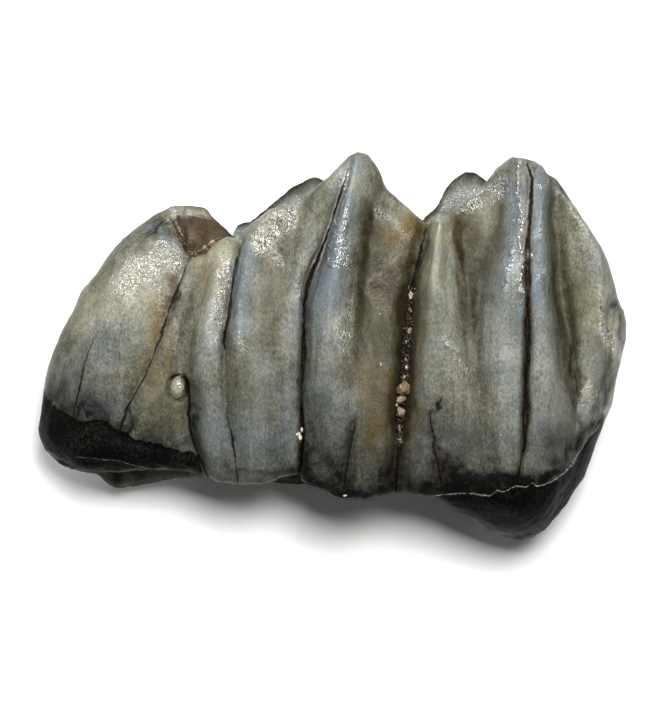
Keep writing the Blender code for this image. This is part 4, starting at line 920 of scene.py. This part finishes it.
        (3.8, -1.87, 3.73, -2.05, 0.06, 0.95), (-0.88, 1.84, -1.03, 0.76, 0.13, 0.5),
        (-1.17, -1.22, -1.17, -2.12, 0.14, 0.6), (8, -4.3, 8.9, -3.4, 0.25, 0.3),
        (8.73, -2.66, 9.09, -3.2, 0.18, 0.25), (9.63, -2.48, 9.81, -1.04, 0.14, 0.4),
        (7.11, 6.59, 7.29, 6.34, 0.11, 0.4), (-6.75, 4.36, -6.03, 4.79, 0.05, 0.7)],
    "shine": [
        (9.85, 1.04, 10.1, 0.04, 0.14, 0.85), (1.6, 5.2, 2.6, 4.3, 0.25, 0.3),
        (6.75, 6.59, 6.75, 3.2, 0.09, 0.9), (-7.29, 1.84, -8.37, -0.32, 0.22, 0.2),
        (0.2, 4.5, 0, 3.2, 0.25, 0.85), (0.49, 6.08, 0.34, 4.9, 0.22, 0.55),
        (-7.6, 2.3, -6.2, 3.8, 0.4, 0.42), (-6.6, 3.2, -5.6, 3.9, 0.32, 0.7),
        (-6.14, 3.64, -5.49, 3.2, 0.22, 0.85), (-4.6, 3.6, -3.6, 3.2, 0.32, 0.22),
        (-4, 2.6, -4.3, 0.8, 0.29, 0.4), (-3.62, 1.84, -3.33, 0.04, 0.18, 0.3),
        (10.06, 0.76, 10.21, 0.04, 0.18, 0.9), (9.2, -1.48, 9.63, -2.12, 0.22, 0.9),
        (8.19, 6.08, 9.09, 4.18, 0.18, 0.35), (4.05, 0.76, 4.41, 0.22, 0.18, 0.5),
        (4.95, 5.26, 6.03, 6.08, 0.18, 0.6), (0.7, 1.8, 0.4, 0, 0.29, 0.35),
        (-3.87, 6.7, -2.97, 5.8, 0.22, 0.5), (-1.5, 5.3, -2.3, 4, 0.29, 0.5),
        (-6.2, 4, -5.6, 3.1, 0.32, 0.9), (-7.7, 2.5, -6.6, 3.5, 0.29, 0.6),
        (-6.9, 3.2, -6.2, 1.8, 0.43, 0.35), (-2.79, 4.18, -2.54, 4.9, 0.22, 0.8),
        (-2.5, 3.6, -1.5, 5.3, 0.32, 0.8), (-2.25, 4, -2.03, 3.2, 0.22, 0.5),
        (-1.31, 2.38, -1.17, 1.84, 0.22, 0.4), (0.2, 4.5, 0.4, 3.2, 0.25, 0.85),
        (0.63, 6.44, 0.45, 4.9, 0.22, 0.6), (6.75, 3.2, 6.82, 2.2, 0.11, 0.7),
        (6.46, 4, 6.32, 2.2, 0.18, 0.5), (5.74, 6.52, 6.03, 6.7, 0.18, 0.8),
        (4.59, 5.08, 5.6, 5.87, 0.14, 0.7), (7.51, 6.16, 7.65, 1.84, 0.11, 0.5),
        (9.7, 2.2, 9.85, 0.9, 0.22, 0.3), (10.06, 0.76, 10.21, 0.11, 0.22, 0.9),
        (9.2, -2.2, 9.56, -1.48, 0.22, 0.95), (-3.9, 3.6, -4.1, 0.8, 0.29, 0.3),
        (-3.62, 3.64, -3.76, 2.74, 0.14, 0.25), (3.65, 4.54, 3.94, 4.18, 0.18, 0.5),
        (-5.63, -1.04, -5.56, -1.4, 0.14, 0.8), (4.52, -0.5, 4.81, -0.86, 0.14, 0.5),
        (-4.4, 4.5, -5.3, 4.2, 0.29, 0.5), (-1.17, 5.98, -0.74, 6.16, 0.18, 0.5),
        (4.95, 6.16, 4.41, 5.62, 0.18, 0.4), (-9.8, -0.7, -7.3, 2.9, 0.29, 0.3),
        (0.4, 0.8, 0.3, -2.5, 0.29, 0.12)],
}


def crackRims(x, y):
    # Thin pale rims: a bell on both sides of a crack, just outside its dark line.
    total = np.zeros_like(x)
    for name, (low, high, strength) in paleRims.items():
        pathX, pathY, width = np.array(cracks[name][::-1]).T[:3]
        away = np.abs(x - np.interp(y, pathY, pathX)) - np.interp(y, pathY, width)
        fade = span(y, (low, low + rimForm["fadeIn"]), (high, high + rimForm["fadeOut"]))
        line = bell(away - rimForm["gap"], rimForm["halfWidth"])
        total = np.maximum(total, strength * fade * line)
    return total


def toothPaint(points, place, sunk):
    # Shares of each stain, 0 to 1. The tongue side has its own strokes, with dirt and painted
    # shade in its hollows, painted light on its ridges, and darker towards its root end; the cheek
    # wall, the chewing surface and the root end are stained by height, hollows and slow waves.
    x, y, z = points.T
    slow, quick, finest = (waves(points, *wave) for wave in stainWaves)
    sides = {name: span(place, *ends) for name, ends in sideSpans.items()}
    onTongue, onTop, onCheek = sides["tongue"], sides["top"], sides["cheek"]
    sides["cheekHollow"] = onCheek * ease(z, *stainAndShadeForm["cheekHollow"])
    fromBase = y - along(x, outlines["tongue base"]) + 0.10 * quick
    fromCheekBase = y - along(x, outlines["cheek base"])
    measures = {"place": place, "sunk": sunk, "height": z, "slow": slow, "quick": quick,
                "fromCheekBase": fromCheekBase - 0.35 * quick}
    stains = {name: strokeMask(points, strokes, brushSeed + 3 * number) * onTongue
              for number, (name, strokes) in enumerate(paint.items())}

    def cover(name, share):
        stains[name] = 1.0 - (1.0 - stains[name]) * (1.0 - share)

    def atLeast(name, share):
        stains[name] = np.maximum(stains[name], share)

    # dirt and painted shade: umber in the tongue wall's hollows, the stronger the deeper a point
    # lies below the wall beside it
    cover("umber", stainAndShadeForm["dirtAndShadeInHollows"] * onTongue * ease(sunk, *stainAndShadeForm["hollow"]))
    cover("soot", onTongue * (along(fromBase, rootDarkening) * along(x, rootDarkeningShare)))
    for name, strength, side, *follows in stainRules:
        share = sides[side]
        if follows:
            share = share * ease(measures[follows[0]], *follows[1:])
        atLeast(name, share * strength)
    deep = onTop * span(place, *topHollow) * ease(quick, -1.8, 1.0)
    atLeast("umber", stainAndShadeForm["inTop"] * deep * (1.0 - stains["cream"]))
    atLeast("soot", stainAndShadeForm["cheekEdge"] * bell(place - 2.0, 0.05))
    atLeast("soot", stainAndShadeForm["topEdge"] * onTop * bell(place - 1.86, 0.03))
    backRim = ease(ringAt(x, y, backRimOval), 1.0, 0.6) * ease(place, 1.0, 1.1)
    stains["soot"] *= 1.0 - 0.9 * backRim
    atLeast("cream", 0.85 * backRim)
    stains["rim"] = onTongue * crackRims(x, y)
    above, step = besideLine(x, y, enamelEdge)[::2]
    ragged = 0.035 * quick + 0.03 * finest
    below = ease(above - ragged, *neckForm["tongue"]) * ease(step, 0.0, neckForm["fullStep"])
    atRoot = ease(fromCheekBase - 0.25 * quick - 6.0 * ragged, *neckForm["cheek"])
    neck = np.maximum(below * (onTongue + onCheek), onCheek * atRoot)
    stains["neck"] = np.clip(neck, 0.0, 1.0)
    plug = ringAt(x, y, plugOval)
    onPlug = ease(place, 0.99, 1.02) * (place < 2.0)
    stains["plug"] = ease(plug, 1.10, 0.98) * onPlug
    stains["shine"] *= 1.0 - 0.8 * stains["plug"]
    atLeast("soot", stainAndShadeForm["plugEdge"] * bell(plug - 1.08, 0.07) * onPlug)   # dark seam
    pearl = ringAt(x, y, enamelPearl)
    stains["pearl"] = ease(pearl, 1.02, 0.85) * onTongue
    upRight = 0.8 * (y - enamelPearl[1]) + x - enamelPearl[0]
    socket = bell(pearl - 1.16, 0.15) * ease(upRight, -0.25, 0.12)      # dark on one side
    atLeast("soot", stainAndShadeForm["pearlEdge"] * socket * onTongue)
    return stains


def link(name, data):
    # A new object in the scene.
    made = bpy.data.objects.new(name, data)
    bpy.context.scene.collection.objects.link(made)
    return made


def meshObject(name, points, triangles, smooth=True):
    # A mesh object at the origin from points in table millimetres.
    mesh = bpy.data.meshes.new(name)
    mesh.from_pydata(((points - tableMiddle) * mm).tolist(), [], triangles.tolist())
    if smooth:
        mesh.shade_smooth()
    return link(name, mesh)


def addField(piece, name, values):
    # Stores one number for each point of a piece.
    field = piece.data.attributes.new(name, "FLOAT", "POINT")
    field.data.foreach_set("value", np.ascontiguousarray(values, dtype=np.float32))


toothPoints, toothTriangles, toothPlace, toothSunk = crown()
fields = toothPaint(toothPoints, toothPlace, toothSunk)
x, y = toothPoints[:, :2].T
onTongue = ease(toothPlace, 1.03, 1.0)
fields["crackOffset"], width = nearestCrack(x, y)[:2]
fields["crackWidth"] = width * onTongue
for name, line in (("edge", enamelEdge), ("line", necklaceLine)):
    fields[name + "Above"], width = besideLine(x, y, line)[:2]
    fields[name + "Width"] = width * onTongue
toothPoints = roughen(toothPoints, toothTriangles, toothPlace)
tooth = meshObject("tooth_enamel", toothPoints, toothTriangles)
for name, values in fields.items():
    addField(tooth, name, values)
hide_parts("tooth")
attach(tooth, "root")
print("tooth:", len(toothTriangles), "triangles")


# the sand in the middle groove, the gravel on the back lobe and a few pale flecks

# stones: (x, y, half width, half length, turn in degrees, tone from dark 0 to pale 1)
grooveStones = [
    (2.84, 2.02, 0.09, 0.15, 4, 0.85), (2.82, 1.46, 0.07, 0.09, 30, 0.55),
    (2.82, 0.76, 0.09, 0.13, -20, 0.8), (2.66, 0.34, 0.1, 0.06, 15, 0.52),
    (2.76, 0.18, 0.06, 0.06, 40, 0.3), (2.66, -0.32, 0.05, 0.06, 0, 0.7),
    (2.68, -0.58, 0.06, 0.06, 15, 0.95), (2.6, -0.96, 0.08, 0.06, 50, 0.75),
    (2.66, -1.14, 0.07, 0.06, 0, 0.45), (2.57, -1.38, 0.29, 0.26, -28, 0.62),
    (2.45, -1.76, 0.25, 0.11, 8, 0.62), (2.29, -1.95, 0.06, 0.05, 10, 0.85),
    (2.58, -1.92, 0.14, 0.06, 0, 0.08), (2.47, -2.21, 0.17, 0.19, 8, 0.54),
    (2.38, -2.48, 0.06, 0.07, 30, 0.15), (2.41, -2.82, 0.06, 0.17, -4, 0.6),
    (2.43, -3.22, 0.08, 0.12, 0, 0.5),
]
lobeStones = [
    (-4.4, 3.92, 0.19, 0.095, 38, 0.66), (-4.66, 3.78, 0.11, 0.08, 20, 0.7),
    (-4.56, 3.66, 0.1, 0.06, 60, 0.3), (-4.84, 3.62, 0.09, 0.07, 0, 0.42),
    (-4.98, 3.5, 0.1, 0.07, 15, 0.3), (-5.12, 3.52, 0.09, 0.07, 80, 0.36),
    (-5.22, 3.6, 0.08, 0.06, 10, 0.22), (-4.22, 4.06, 0.09, 0.06, 40, 0.3),
    (-5.7, 4.62, 0.09, 0.16, 12, 0.34), (-5.6, 4.42, 0.07, 0.13, 20, 0.44),
    (-5.62, 4.88, 0.14, 0.1, -10, 0.3), (-5.5, 4.2, 0.06, 0.1, 30, 0.28),
]
fleckStones = [
    (-1.19, -3.08, 0.09, 0.17, 10, 1), (-1.13, -2.86, 0.07, 0.1, -20, 1),
    (-1.26, -3, 0.06, 0.07, 0, 0.9), (0.45, -5.2, 0.06, 0.05, 0, 1),
    (1.74, -0.47, 0.035, 0.055, 0, 1), (1.71, 1.33, 0.025, 0.035, 0, 0.9),
    (6.05, -3.02, 0.025, 0.025, 0, 1),
]
stoneForm = {
    "planes": 13,
    "reach": (0.72, 1.0),       # least and greatest distance of a facet, in half widths
    "corner": 1.25,             # greatest distance of a corner
    "flatness": 0.85,           # half height beside the lesser half width
}
sandFill = {
    "grooveGrains": 330,        # small dark grains between the stones
    "lobeGrains": 45,
    "lobePath": [(-5.62, 4.8), (-5.55, 4.2), (-5.2, 3.6), (-4.9, 3.62), (-4.3, 4.0)],
    "size": (0.022, 0.055),     # least and greatest half size
    "spread": 0.15,             # half width of the strip of sand
    "reach": (-3.45, 2.3),      # from its lower to its upper end
    "paleShare": 0.06,
    "paleTone": 0.55,
    "darkTone": 0.16,
    "seed": 21,
}


def sphereWays(detail):
    # Points and triangles of a ball of radius one.
    ball = bmesh.new()
    bmesh.ops.create_icosphere(ball, subdivisions=detail, radius=1.0)
    ways = np.array([point.co for point in ball.verts])
    triangles = np.array([[point.index for point in face.verts] for face in ball.faces])
    ball.free()
    return ways, triangles


def surfaceHeights(table):
    # Height of the tooth's surface below each stone: the mean of the heights straight below its
    # middle and below its left and right side.
    down = Vector((0.0, 0.0, -1.0))
    sides = [(row[0] + side * row[2], row[1]) for row in table for side in (-0.8, 0.0, 0.8)]
    hits = [toothTree.ray_cast(Vector((x, y, 30.0)), down)[0] for x, y in sides]
    heights = np.array([hit.z if hit else 8.0 for hit in hits])
    return heights.reshape(-1, 3).mean(axis=1)


def stones(table, sink, detail, seed):
    # Chipped stones: in each direction the surface lies at the least of the distances to a
    # dozen random planes round the centre, which gives flat facets. Then each is stretched,
    # turned about the vertical and set at its place, sunk by a share of its height.
    dice = np.random.default_rng(seed)
    table = np.array(table, float)
    ways, triangles = sphereWays(detail)
    planes = dice.normal(size=(len(table), stoneForm["planes"], 3))
    planes /= np.linalg.norm(planes, axis=2, keepdims=True)
    reach = dice.uniform(*stoneForm["reach"], (len(table), 1, stoneForm["planes"]))
    facing = np.einsum("vk,spk->svp", ways, planes)
    radius = np.where(facing > 0.05, reach / np.maximum(facing, 0.05), 9.0).min(axis=2)
    shape = ways[None] * np.minimum(radius, stoneForm["corner"])[..., None]
    low = np.minimum(table[:, 2], table[:, 3]) * stoneForm["flatness"]
    shape *= np.stack([table[:, 2], table[:, 3], low], axis=-1)[:, None]
    cosine, sine = np.cos(np.radians(table[:, 4])), np.sin(np.radians(table[:, 4]))
    x = shape[..., 0] * cosine[:, None] - shape[..., 1] * sine[:, None]
    y = shape[..., 0] * sine[:, None] + shape[..., 1] * cosine[:, None]
    z = shape[..., 2] + (surfaceHeights(table) + low * (1.0 - sink))[:, None]
    points = np.stack([x + table[:, :1], y + table[:, 1:2], z], axis=-1)
    triangles = triangles[None] + (np.arange(len(table)) * len(ways))[:, None, None]
    return points.reshape(-1, 3), triangles.reshape(-1, 3), np.repeat(table[:, 5], len(ways))


def joined(parts):
    # One set of points, triangles and tones from several.
    points, triangles, tones = zip(*parts)
    starts = np.cumsum([0] + [len(item) for item in points[:-1]])
    triangles = [item + start for item, start in zip(triangles, starts)]
    return [np.concatenate(items) for items in (points, triangles, tones)]


def smallGrains(count, x, y, seed):
    # A table of small grains around a path, dark with a few pale ones.
    dice = np.random.default_rng(seed)
    share = dice.uniform(0.0, 1.0, count)
    atX = np.interp(share, np.linspace(0, 1, len(x)), x)
    atX += dice.uniform(-1.0, 1.0, count) * sandFill["spread"]
    atY = np.interp(share, np.linspace(0, 1, len(y)), y)
    size = dice.uniform(*sandFill["size"], (count, 2))
    pale = dice.random(count) < sandFill["paleShare"]
    tone = np.where(pale, sandFill["paleTone"], sandFill["darkTone"] * dice.random(count))
    turn = dice.uniform(0.0, 180.0, count)
    return np.column_stack([atX, atY, size, turn, tone])


toothTree = BVHTree.FromPolygons(toothPoints.tolist(), toothTriangles.tolist())
grooveX, grooveY = np.array(cracks["middle groove"])[:, :2].T
reachY = np.linspace(*sandFill["reach"][::-1], 30)
reachX = np.interp(reachY, grooveY[::-1], grooveX[::-1])
seed = sandFill["seed"]
grooveFill = smallGrains(sandFill["grooveGrains"], reachX, reachY, seed)
lobeFill = smallGrains(sandFill["lobeGrains"], *np.array(sandFill["lobePath"]).T, seed + 3)
grainParts = {      # (stones, share sunk, detail, seed)
    "groove_grains": ((grooveStones, 0.3, 3, seed + 1), (grooveFill, 0.3, 1, seed + 2)),
    "loose_grains": ((lobeStones, 0.5, 3, seed + 4), (fleckStones, 0.9, 2, seed + 5),
                     (lobeFill, 0.5, 1, seed + 6)),
}
grainPieces = []
for name, parts in grainParts.items():
    points, triangles, tone = joined([stones(*part) for part in parts])
    piece = meshObject(name, points, triangles, smooth=False)
    addField(piece, "tone", tone)
    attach(piece, "root")
    grainPieces.append(piece)
    print(name + ":", len(triangles), "triangles")
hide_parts("groove_sediment")


# materials

def node(tree, kind, values=None, **settings):
    # Adds one node; values fills its sockets from numbers or from other sockets.
    made = tree.nodes.new(kind)
    for key, value in settings.items():
        setattr(made, key, value)
    for key, value in (values or {}).items():
        if isinstance(value, bpy.types.NodeSocket):
            tree.links.new(value, made.inputs[key])
        else:
            made.inputs[key].default_value = value
    return made


def treeOf(*values):
    # The node tree of the first socket among these values.
    return next(value.id_data for value in values if isinstance(value, bpy.types.NodeSocket))


def sums(operation, first, second):
    # Arithmetic on two values.
    made = node(treeOf(first, second), "ShaderNodeMath", {0: first, 1: second}, operation=operation)
    return made.outputs[0]


def plus(first, *others):
    # The sum of all values.
    for other in others:
        first = sums("ADD", first, other)
    return first


def times(first, *others):
    # The product of all values.
    for other in others:
        first = sums("MULTIPLY", first, other)
    return first


def centred(noise, size):
    # Noise around zero: size times the noise less a half.
    return times(sums("SUBTRACT", noise, 0.5), size)


def weighed(*pairs):
    # The sum of each value times its weight.
    return plus(*[times(value, weight) for value, weight in pairs])


def between(value, low, high, toLow=0.0, toHigh=1.0):
    # Smooth step of a value from low to high.
    made = node(treeOf(value), "ShaderNodeMapRange",
                {"Value": value, "From Min": low, "From Max": high, "To Min": toLow,
                 "To Max": toHigh}, interpolation_type="SMOOTHSTEP")
    return made.outputs[0]


def blend(share, first, second, kind="MIX"):
    # Mixes two colours.
    made = node(treeOf(share, first, second), "ShaderNodeMix", {0: share, 6: first, 7: second},
                data_type="RGBA", blend_type=kind)
    return made.outputs[2]


def grain(place, scale, detail=3.0, roughness=0.5, stretch=None, warp=0.0):
    # Noise from 0 to 1; stretch makes it longer along y.
    tree = treeOf(place)
    if stretch:
        place = node(tree, "ShaderNodeMapping", {0: place, "Scale": stretch}).outputs[0]
    made = node(tree, "ShaderNodeTexNoise", {
        "Vector": place, "Scale": scale, "Detail": detail, "Roughness": roughness,
        "Distortion": warp})
    return made.outputs["Fac"]


def field(tree, name):
    # Reads one number of a point.
    return node(tree, "ShaderNodeAttribute", attribute_name=name).outputs["Fac"]


def newMaterial(name):
    # An empty material, its shader, and the place on the object in millimetres.
    material = bpy.data.materials.new(name)
    material.use_nodes = True
    tree = material.node_tree
    place = node(tree, "ShaderNodeTexCoord").outputs["Object"]
    place = node(tree, "ShaderNodeMapping", {0: place, "Scale": (1.0 / mm,) * 3}).outputs[0]
    return material, tree, tree.nodes["Principled BSDF"], place


def addBump(tree, shader, height, strength, distance):
    # Small relief in the light only, by a height from 0 to 1.
    bump = node(tree, "ShaderNodeBump",
                {"Strength": strength, "Distance": distance * mm, "Height": height})
    tree.links.new(bump.outputs[0], shader.inputs["Normal"])


enamelFinish = {
    "pale": (0.184, 0.182, 0.138, 1),
    "deep": (0.06, 0.06, 0.042, 1),
    "cream": (0.31, 0.294, 0.196, 1),
    "rust": (0.118, 0.083, 0.027, 1),
    "umber": (0.028, 0.021, 0.009, 1),
    "slate": (0.125, 0.16, 0.182, 1),
    "olive": (0.05, 0.049, 0.022, 1),
    "soot": (0.0045, 0.0043, 0.0038, 1),
    # pale polish, partly painted light
    "polishAndLight": (0.25, 0.262, 0.245, 1),
    "rim": (0.33, 0.33, 0.29, 1),
    "neck": (0.0022, 0.0021, 0.0018, 1),
    "ash": (0.0115, 0.011, 0.0095, 1),
    "plug": (0.066, 0.043, 0.02, 1),
    "plugDark": (0.03, 0.018, 0.008, 1),
    "pearl": (0.29, 0.272, 0.2, 1),
    "crack": (0.005, 0.004, 0.003, 1),
    "crackFill": (0.055, 0.038, 0.02, 1),
    "crackHalo": (0.036, 0.028, 0.016, 1),
    "speckleDark": (0.79, 0.79, 0.78, 1),
    "specklePale": (1.19, 1.19, 1.19, 1),
    "edgeLine": (0.4, 0.4, 0.37, 1),
    "plain": (0.3, 0.3, 0.25, 1),
    "gloss": (0.42, 0.12),          # roughness where dull and where polished
    "shine": (0.05, 0.8),          # reflection where dull and where polished
    "mottleShine": 0.12,
    "neckShine": 0.008,
    "specks": 0.55,                 # shares of the dark specks, a crack's halo and pale lines
    "halo": 0.55,
    "edge": 0.8,
    "line": 0.28,
    "bump": (0.7, 0.07),            # strength, height in millimetres
}
# how strongly noise breaks up each stain, from the lowest one up
stainSoftness = {
    "polishAndLight": 0.4, "olive": 0.6, "cream": 0.6, "slate": 0.5, "rust": 0.6, "umber": 0.6,
    "soot": 0.35, "rim": 0.5,
}
# from where to where a noise, a field or a distance takes effect
enamelLimits = {
    "pale": (0.38, 0.62), "neck": (0.3, 0.7), "ash": (0.48, 0.64), "plugDark": (0.35, 0.7),
    "plug": (0.4, 0.6), "pearl": (0.3, 0.7), "speckle": (0.36, 0.62), "specks": (0.66, 0.74),
    "crack": (0.004, 0.014), "wideCrack": (0.03, 0.06), "halo": (1.0, 0.3), "core": (1.0, 0.6),
    "crumbs": (0.44, 0.62), "line": (0.002, 0.01), "paleLine": (0.9, 0.4), "dust": (0.38, 0.58),
    "shine": (0.45, 0.65),
}
enamelNoise = {     # scale, detail, roughness, stretch, warp
    "mottle": (0.8, 5.0, 0.6),
    "streak": (2.6, 4.0, 0.6, (1.0, 0.16, 1.0), 0.4),
    "cloud": (2.2, 4.0, 0.65, None, 0.6),
    "dust": (9.0, 3.0, 0.6),
    "fine": (13.0, 2.0, 0.6, (1.0, 0.6, 1.0), 0.5),
    "speckle": (24.0, 2.0, 0.6),
    "specks": (5.5, 2.0, 0.7),
    "crumbs": (11.0, 2.0, 0.7),
    "worms": (8.0, 1.0, 0.5, (1.0, 0.8, 1.0), 1.6),
    "ribs": (4.0, 3.0, 0.55, (1.0, 0.35, 1.0)),
}


def enamelMaterial():
    # Mottled enamel: pale and deep tones by slow and streaky noise, then each stain over it,
    # painted light and shade among them, with an edge that noise breaks up, then the cracks and
    # the pale broken edge.
    finish, limits = enamelFinish, enamelLimits
    material, tree, shader, place = newMaterial("polished_fossil_enamel")
    noise = {name: grain(place, *look) for name, look in enamelNoise.items()}
    cloud, dust, fine, mottle = (noise[name] for name in ("cloud", "dust", "fine", "mottle"))
    tone = weighed((mottle, 0.40), (noise["streak"], 0.35), (fine, 0.25))
    color = blend(between(tone, *limits["pale"]), finish["deep"], finish["pale"])
    for name, softness in stainSoftness.items():
        share = times(field(tree, name), plus(centred(cloud, softness * 3.0), 1.05))
        share = sums("MINIMUM", sums("MAXIMUM", share, 0.0), 1.0)
        color = blend(share, color, finish[name])
    neck = between(plus(field(tree, "neck"), centred(cloud, 0.5)), *limits["neck"])
    ash = between(weighed((fine, 0.6), (mottle, 0.4)), *limits["ash"])
    color = blend(neck, color, blend(ash, finish["neck"], finish["ash"]))
    plugTone = blend(between(cloud, *limits["plugDark"]), finish["plug"], finish["plugDark"])
    color = blend(between(field(tree, "plug"), *limits["plug"]), color, plugTone)
    color = blend(between(field(tree, "pearl"), *limits["pearl"]), color, finish["pearl"])
    speckle = between(weighed((fine, 0.6), (noise["speckle"], 0.4)), *limits["speckle"])
    grey = blend(speckle, finish["speckleDark"], finish["specklePale"])
    color = blend(1.0, color, grey, "MULTIPLY")
    specks = times(between(noise["specks"], *limits["specks"]), finish["specks"])
    color = blend(specks, color, finish["umber"])

    width = field(tree, "crackWidth")       # a dark crack with a brown halo and crumbs in it
    ragged = times(sums("SUBTRACT", dust, 0.5), plus(times(width, 2.4), 0.03))
    away = plus(sums("ABSOLUTE", field(tree, "crackOffset"), 0.0), ragged)
    there = times(between(width, *limits["crack"]), sums("SUBTRACT", 1.0, neck))
    halo = sums("DIVIDE", away, plus(times(width, 2.6), 0.004))
    halo = times(between(halo, *limits["halo"], 0.0, finish["halo"]), there)
    color = blend(halo, color, finish["crackHalo"])
    core = times(between(sums("DIVIDE", away, plus(width, 0.002)), *limits["core"]), there)
    clean = sums("SUBTRACT", 1.0, field(tree, "soot"))
    wide = times(between(width, *limits["wideCrack"]), clean)
    crumbs = times(between(noise["crumbs"], *limits["crumbs"]), wide)
    color = blend(core, color, blend(crumbs, finish["crack"], finish["crackFill"]))

    for name in ("edge", "line"):           # the pale broken edge and the line on the back lobe
        width = field(tree, name + "Width")
        wander = plus(centred(cloud, 0.10), centred(dust, 0.12))
        away = sums("ABSOLUTE", plus(field(tree, name + "Above"), wander), 0.0)
        away = sums("DIVIDE", away, plus(width, 0.001))
        share = times(between(away, *limits["paleLine"]), between(dust, *limits["dust"]),
                      between(width, *limits["line"]), finish[name])
        color = blend(share, color, finish["edgeLine"])
    shader.inputs["Base Color"].default_value = finish["plain"]
    tree.links.new(color, shader.inputs["Base Color"])

    shine = times(field(tree, "shine"), plus(centred(cloud, 1.6), 1.0))
    shine = plus(shine, times(between(mottle, *limits["shine"]), finish["mottleShine"]))
    gloss = plus(between(shine, 0.0, 1.0, *finish["gloss"]), times(core, 0.3))
    tree.links.new(gloss, shader.inputs["Roughness"])
    dull = sums("MAXIMUM", neck, field(tree, "soot"))
    lively = between(shine, 0.0, 1.0, *finish["shine"])
    mixed = node(tree, "ShaderNodeMix", {0: dull, 2: lively, 3: finish["neckShine"]},
                 data_type="FLOAT")
    tree.links.new(mixed.outputs[0], shader.inputs["Specular IOR Level"])
    worms = times(noise["worms"], between(shine, 0.0, 0.8, 0.35, 2.2))
    height = plus(times(fine, 0.6), worms, times(noise["ribs"], 0.4))
    addBump(tree, shader, sums("SUBTRACT", height, times(core, 0.7)), *finish["bump"])
    return material


grainFinish = {
    "dark": (0.01, 0.007, 0.005, 1),
    "brown": (0.06, 0.037, 0.02, 1),
    "tan": (0.215, 0.145, 0.08, 1),
    "pale": (0.56, 0.51, 0.42, 1),
    "gloss": (0.3, 0.6),
    "shine": 0.3,
    "bump": (0.5, 0.03),
}


def grainMaterial():
    # Sand grains: four tones from dark to pale by each grain's own tone, a little uneven.
    finish = grainFinish
    material, tree, shader, place = newMaterial("river_sand")
    veins = grain(place, 9.0, 4.0, 0.65, (1.0, 2.2, 1.0), 0.8)
    tone = plus(field(tree, "tone"), centred(veins, 1.5))
    color = blend(between(tone, 0.05, 0.40), finish["dark"], finish["brown"])
    color = blend(between(tone, 0.40, 0.72), color, finish["tan"])
    color = blend(between(tone, 0.78, 1.0), color, finish["pale"])
    tree.links.new(color, shader.inputs["Base Color"])
    gloss = between(veins, 0.3, 0.7, *finish["gloss"])
    tree.links.new(gloss, shader.inputs["Roughness"])
    shader.inputs["Specular IOR Level"].default_value = finish["shine"]
    addBump(tree, shader, veins, *finish["bump"])
    return material


tooth.data.materials.append(enamelMaterial())
sand = grainMaterial()
for piece in grainPieces:
    piece.data.materials.append(sand)


# stage

stageLook = {
    "floorSize": 3.0,
    "floorTone": 0.86,
    "floorRoughness": 0.9,
    "floorShine": 0.1,
    "skyTone": 0.13,
    "cameraHeight": 290.0,      # millimetres above the table
    "lens": 400.0,
    "clip": (0.01, 20.0),
}

# soft lights: (tilt from straight above, turn from +Y towards -X, distance, size, brightness,
# whether it lights the surface, whether it shows in the gloss)
softLights = {
    "ceilingLight": (10.5, -22, 0.5, 0.09, 1.2, True, False),
    "windowLight": (54, 6, 0.5, 0.22, 0.5, True, True),
    "sideLight": (60, 60, 0.5, 0.2, 0.16, True, True),
    "glintLight": (35, 8, 0.5, 0.2, 2.7, False, True),
    "backGlint": (52, 38, 0.5, 0.16, 3, False, True),
    "frontGlint": (44, -70, 0.5, 0.16, 3, False, True),
}


def buildStage():
    # A flat square floor, a pale sky, square lights that face the tooth, and the camera that
    # looks straight down at it.
    look = stageLook
    half = look["floorSize"] / 2.0
    mesh = bpy.data.meshes.new("floor")
    mesh.from_pydata([(-half, -half, 0), (half, -half, 0), (half, half, 0), (-half, half, 0)],
                     [], [(0, 1, 2, 3)])
    floor = link("floor", mesh)
    material, tree, shader, place = newMaterial("pale_table")
    tone = look["floorTone"]
    share = between(grain(place, 0.05, 2.0), 0.3, 0.7)
    color = blend(share, (tone, tone, tone, 1.0), (tone * 1.02, tone * 1.02, tone, 1.0))
    tree.links.new(color, shader.inputs["Base Color"])
    shader.inputs["Roughness"].default_value = look["floorRoughness"]
    shader.inputs["Specular IOR Level"].default_value = look["floorShine"]
    mesh.materials.append(material)
    world = bpy.data.worlds.new("studio")
    world.use_nodes = True
    sky = world.node_tree.nodes["Background"]
    sky.inputs["Color"].default_value = (1.0, 1.0, 1.0, 1.0)
    sky.inputs["Strength"].default_value = look["skyTone"]
    bpy.context.scene.world = world
    for name, (tilt, turn, distance, size, brightness, lit, glossy) in softLights.items():
        light = bpy.data.lights.new(name, "AREA")
        light.shape = "SQUARE"
        light.size = size
        light.energy = np.pi ** 2 * brightness * distance ** 2
        lamp = link(name, light)
        tilt, turn = np.radians(tilt), np.radians(turn)
        way = Vector((-np.sin(tilt) * np.sin(turn), np.sin(tilt) * np.cos(turn), np.cos(tilt)))
        lamp.location = way * distance
        lamp.rotation_euler = way.to_track_quat("Z", "Y").to_euler()
        lamp.visible_diffuse, lamp.visible_glossy = lit, glossy
    camera = bpy.data.cameras.new("camera")
    camera.lens = look["lens"]
    camera.clip_start, camera.clip_end = look["clip"]
    eye = link("camera", camera)
    eye.location = (-tableMiddle[0] * mm, -tableMiddle[1] * mm, look["cameraHeight"] * mm)
    bpy.context.scene.camera = eye
    bpy.context.scene.view_settings.view_transform = "Standard"


buildStage()
print("stage ready")
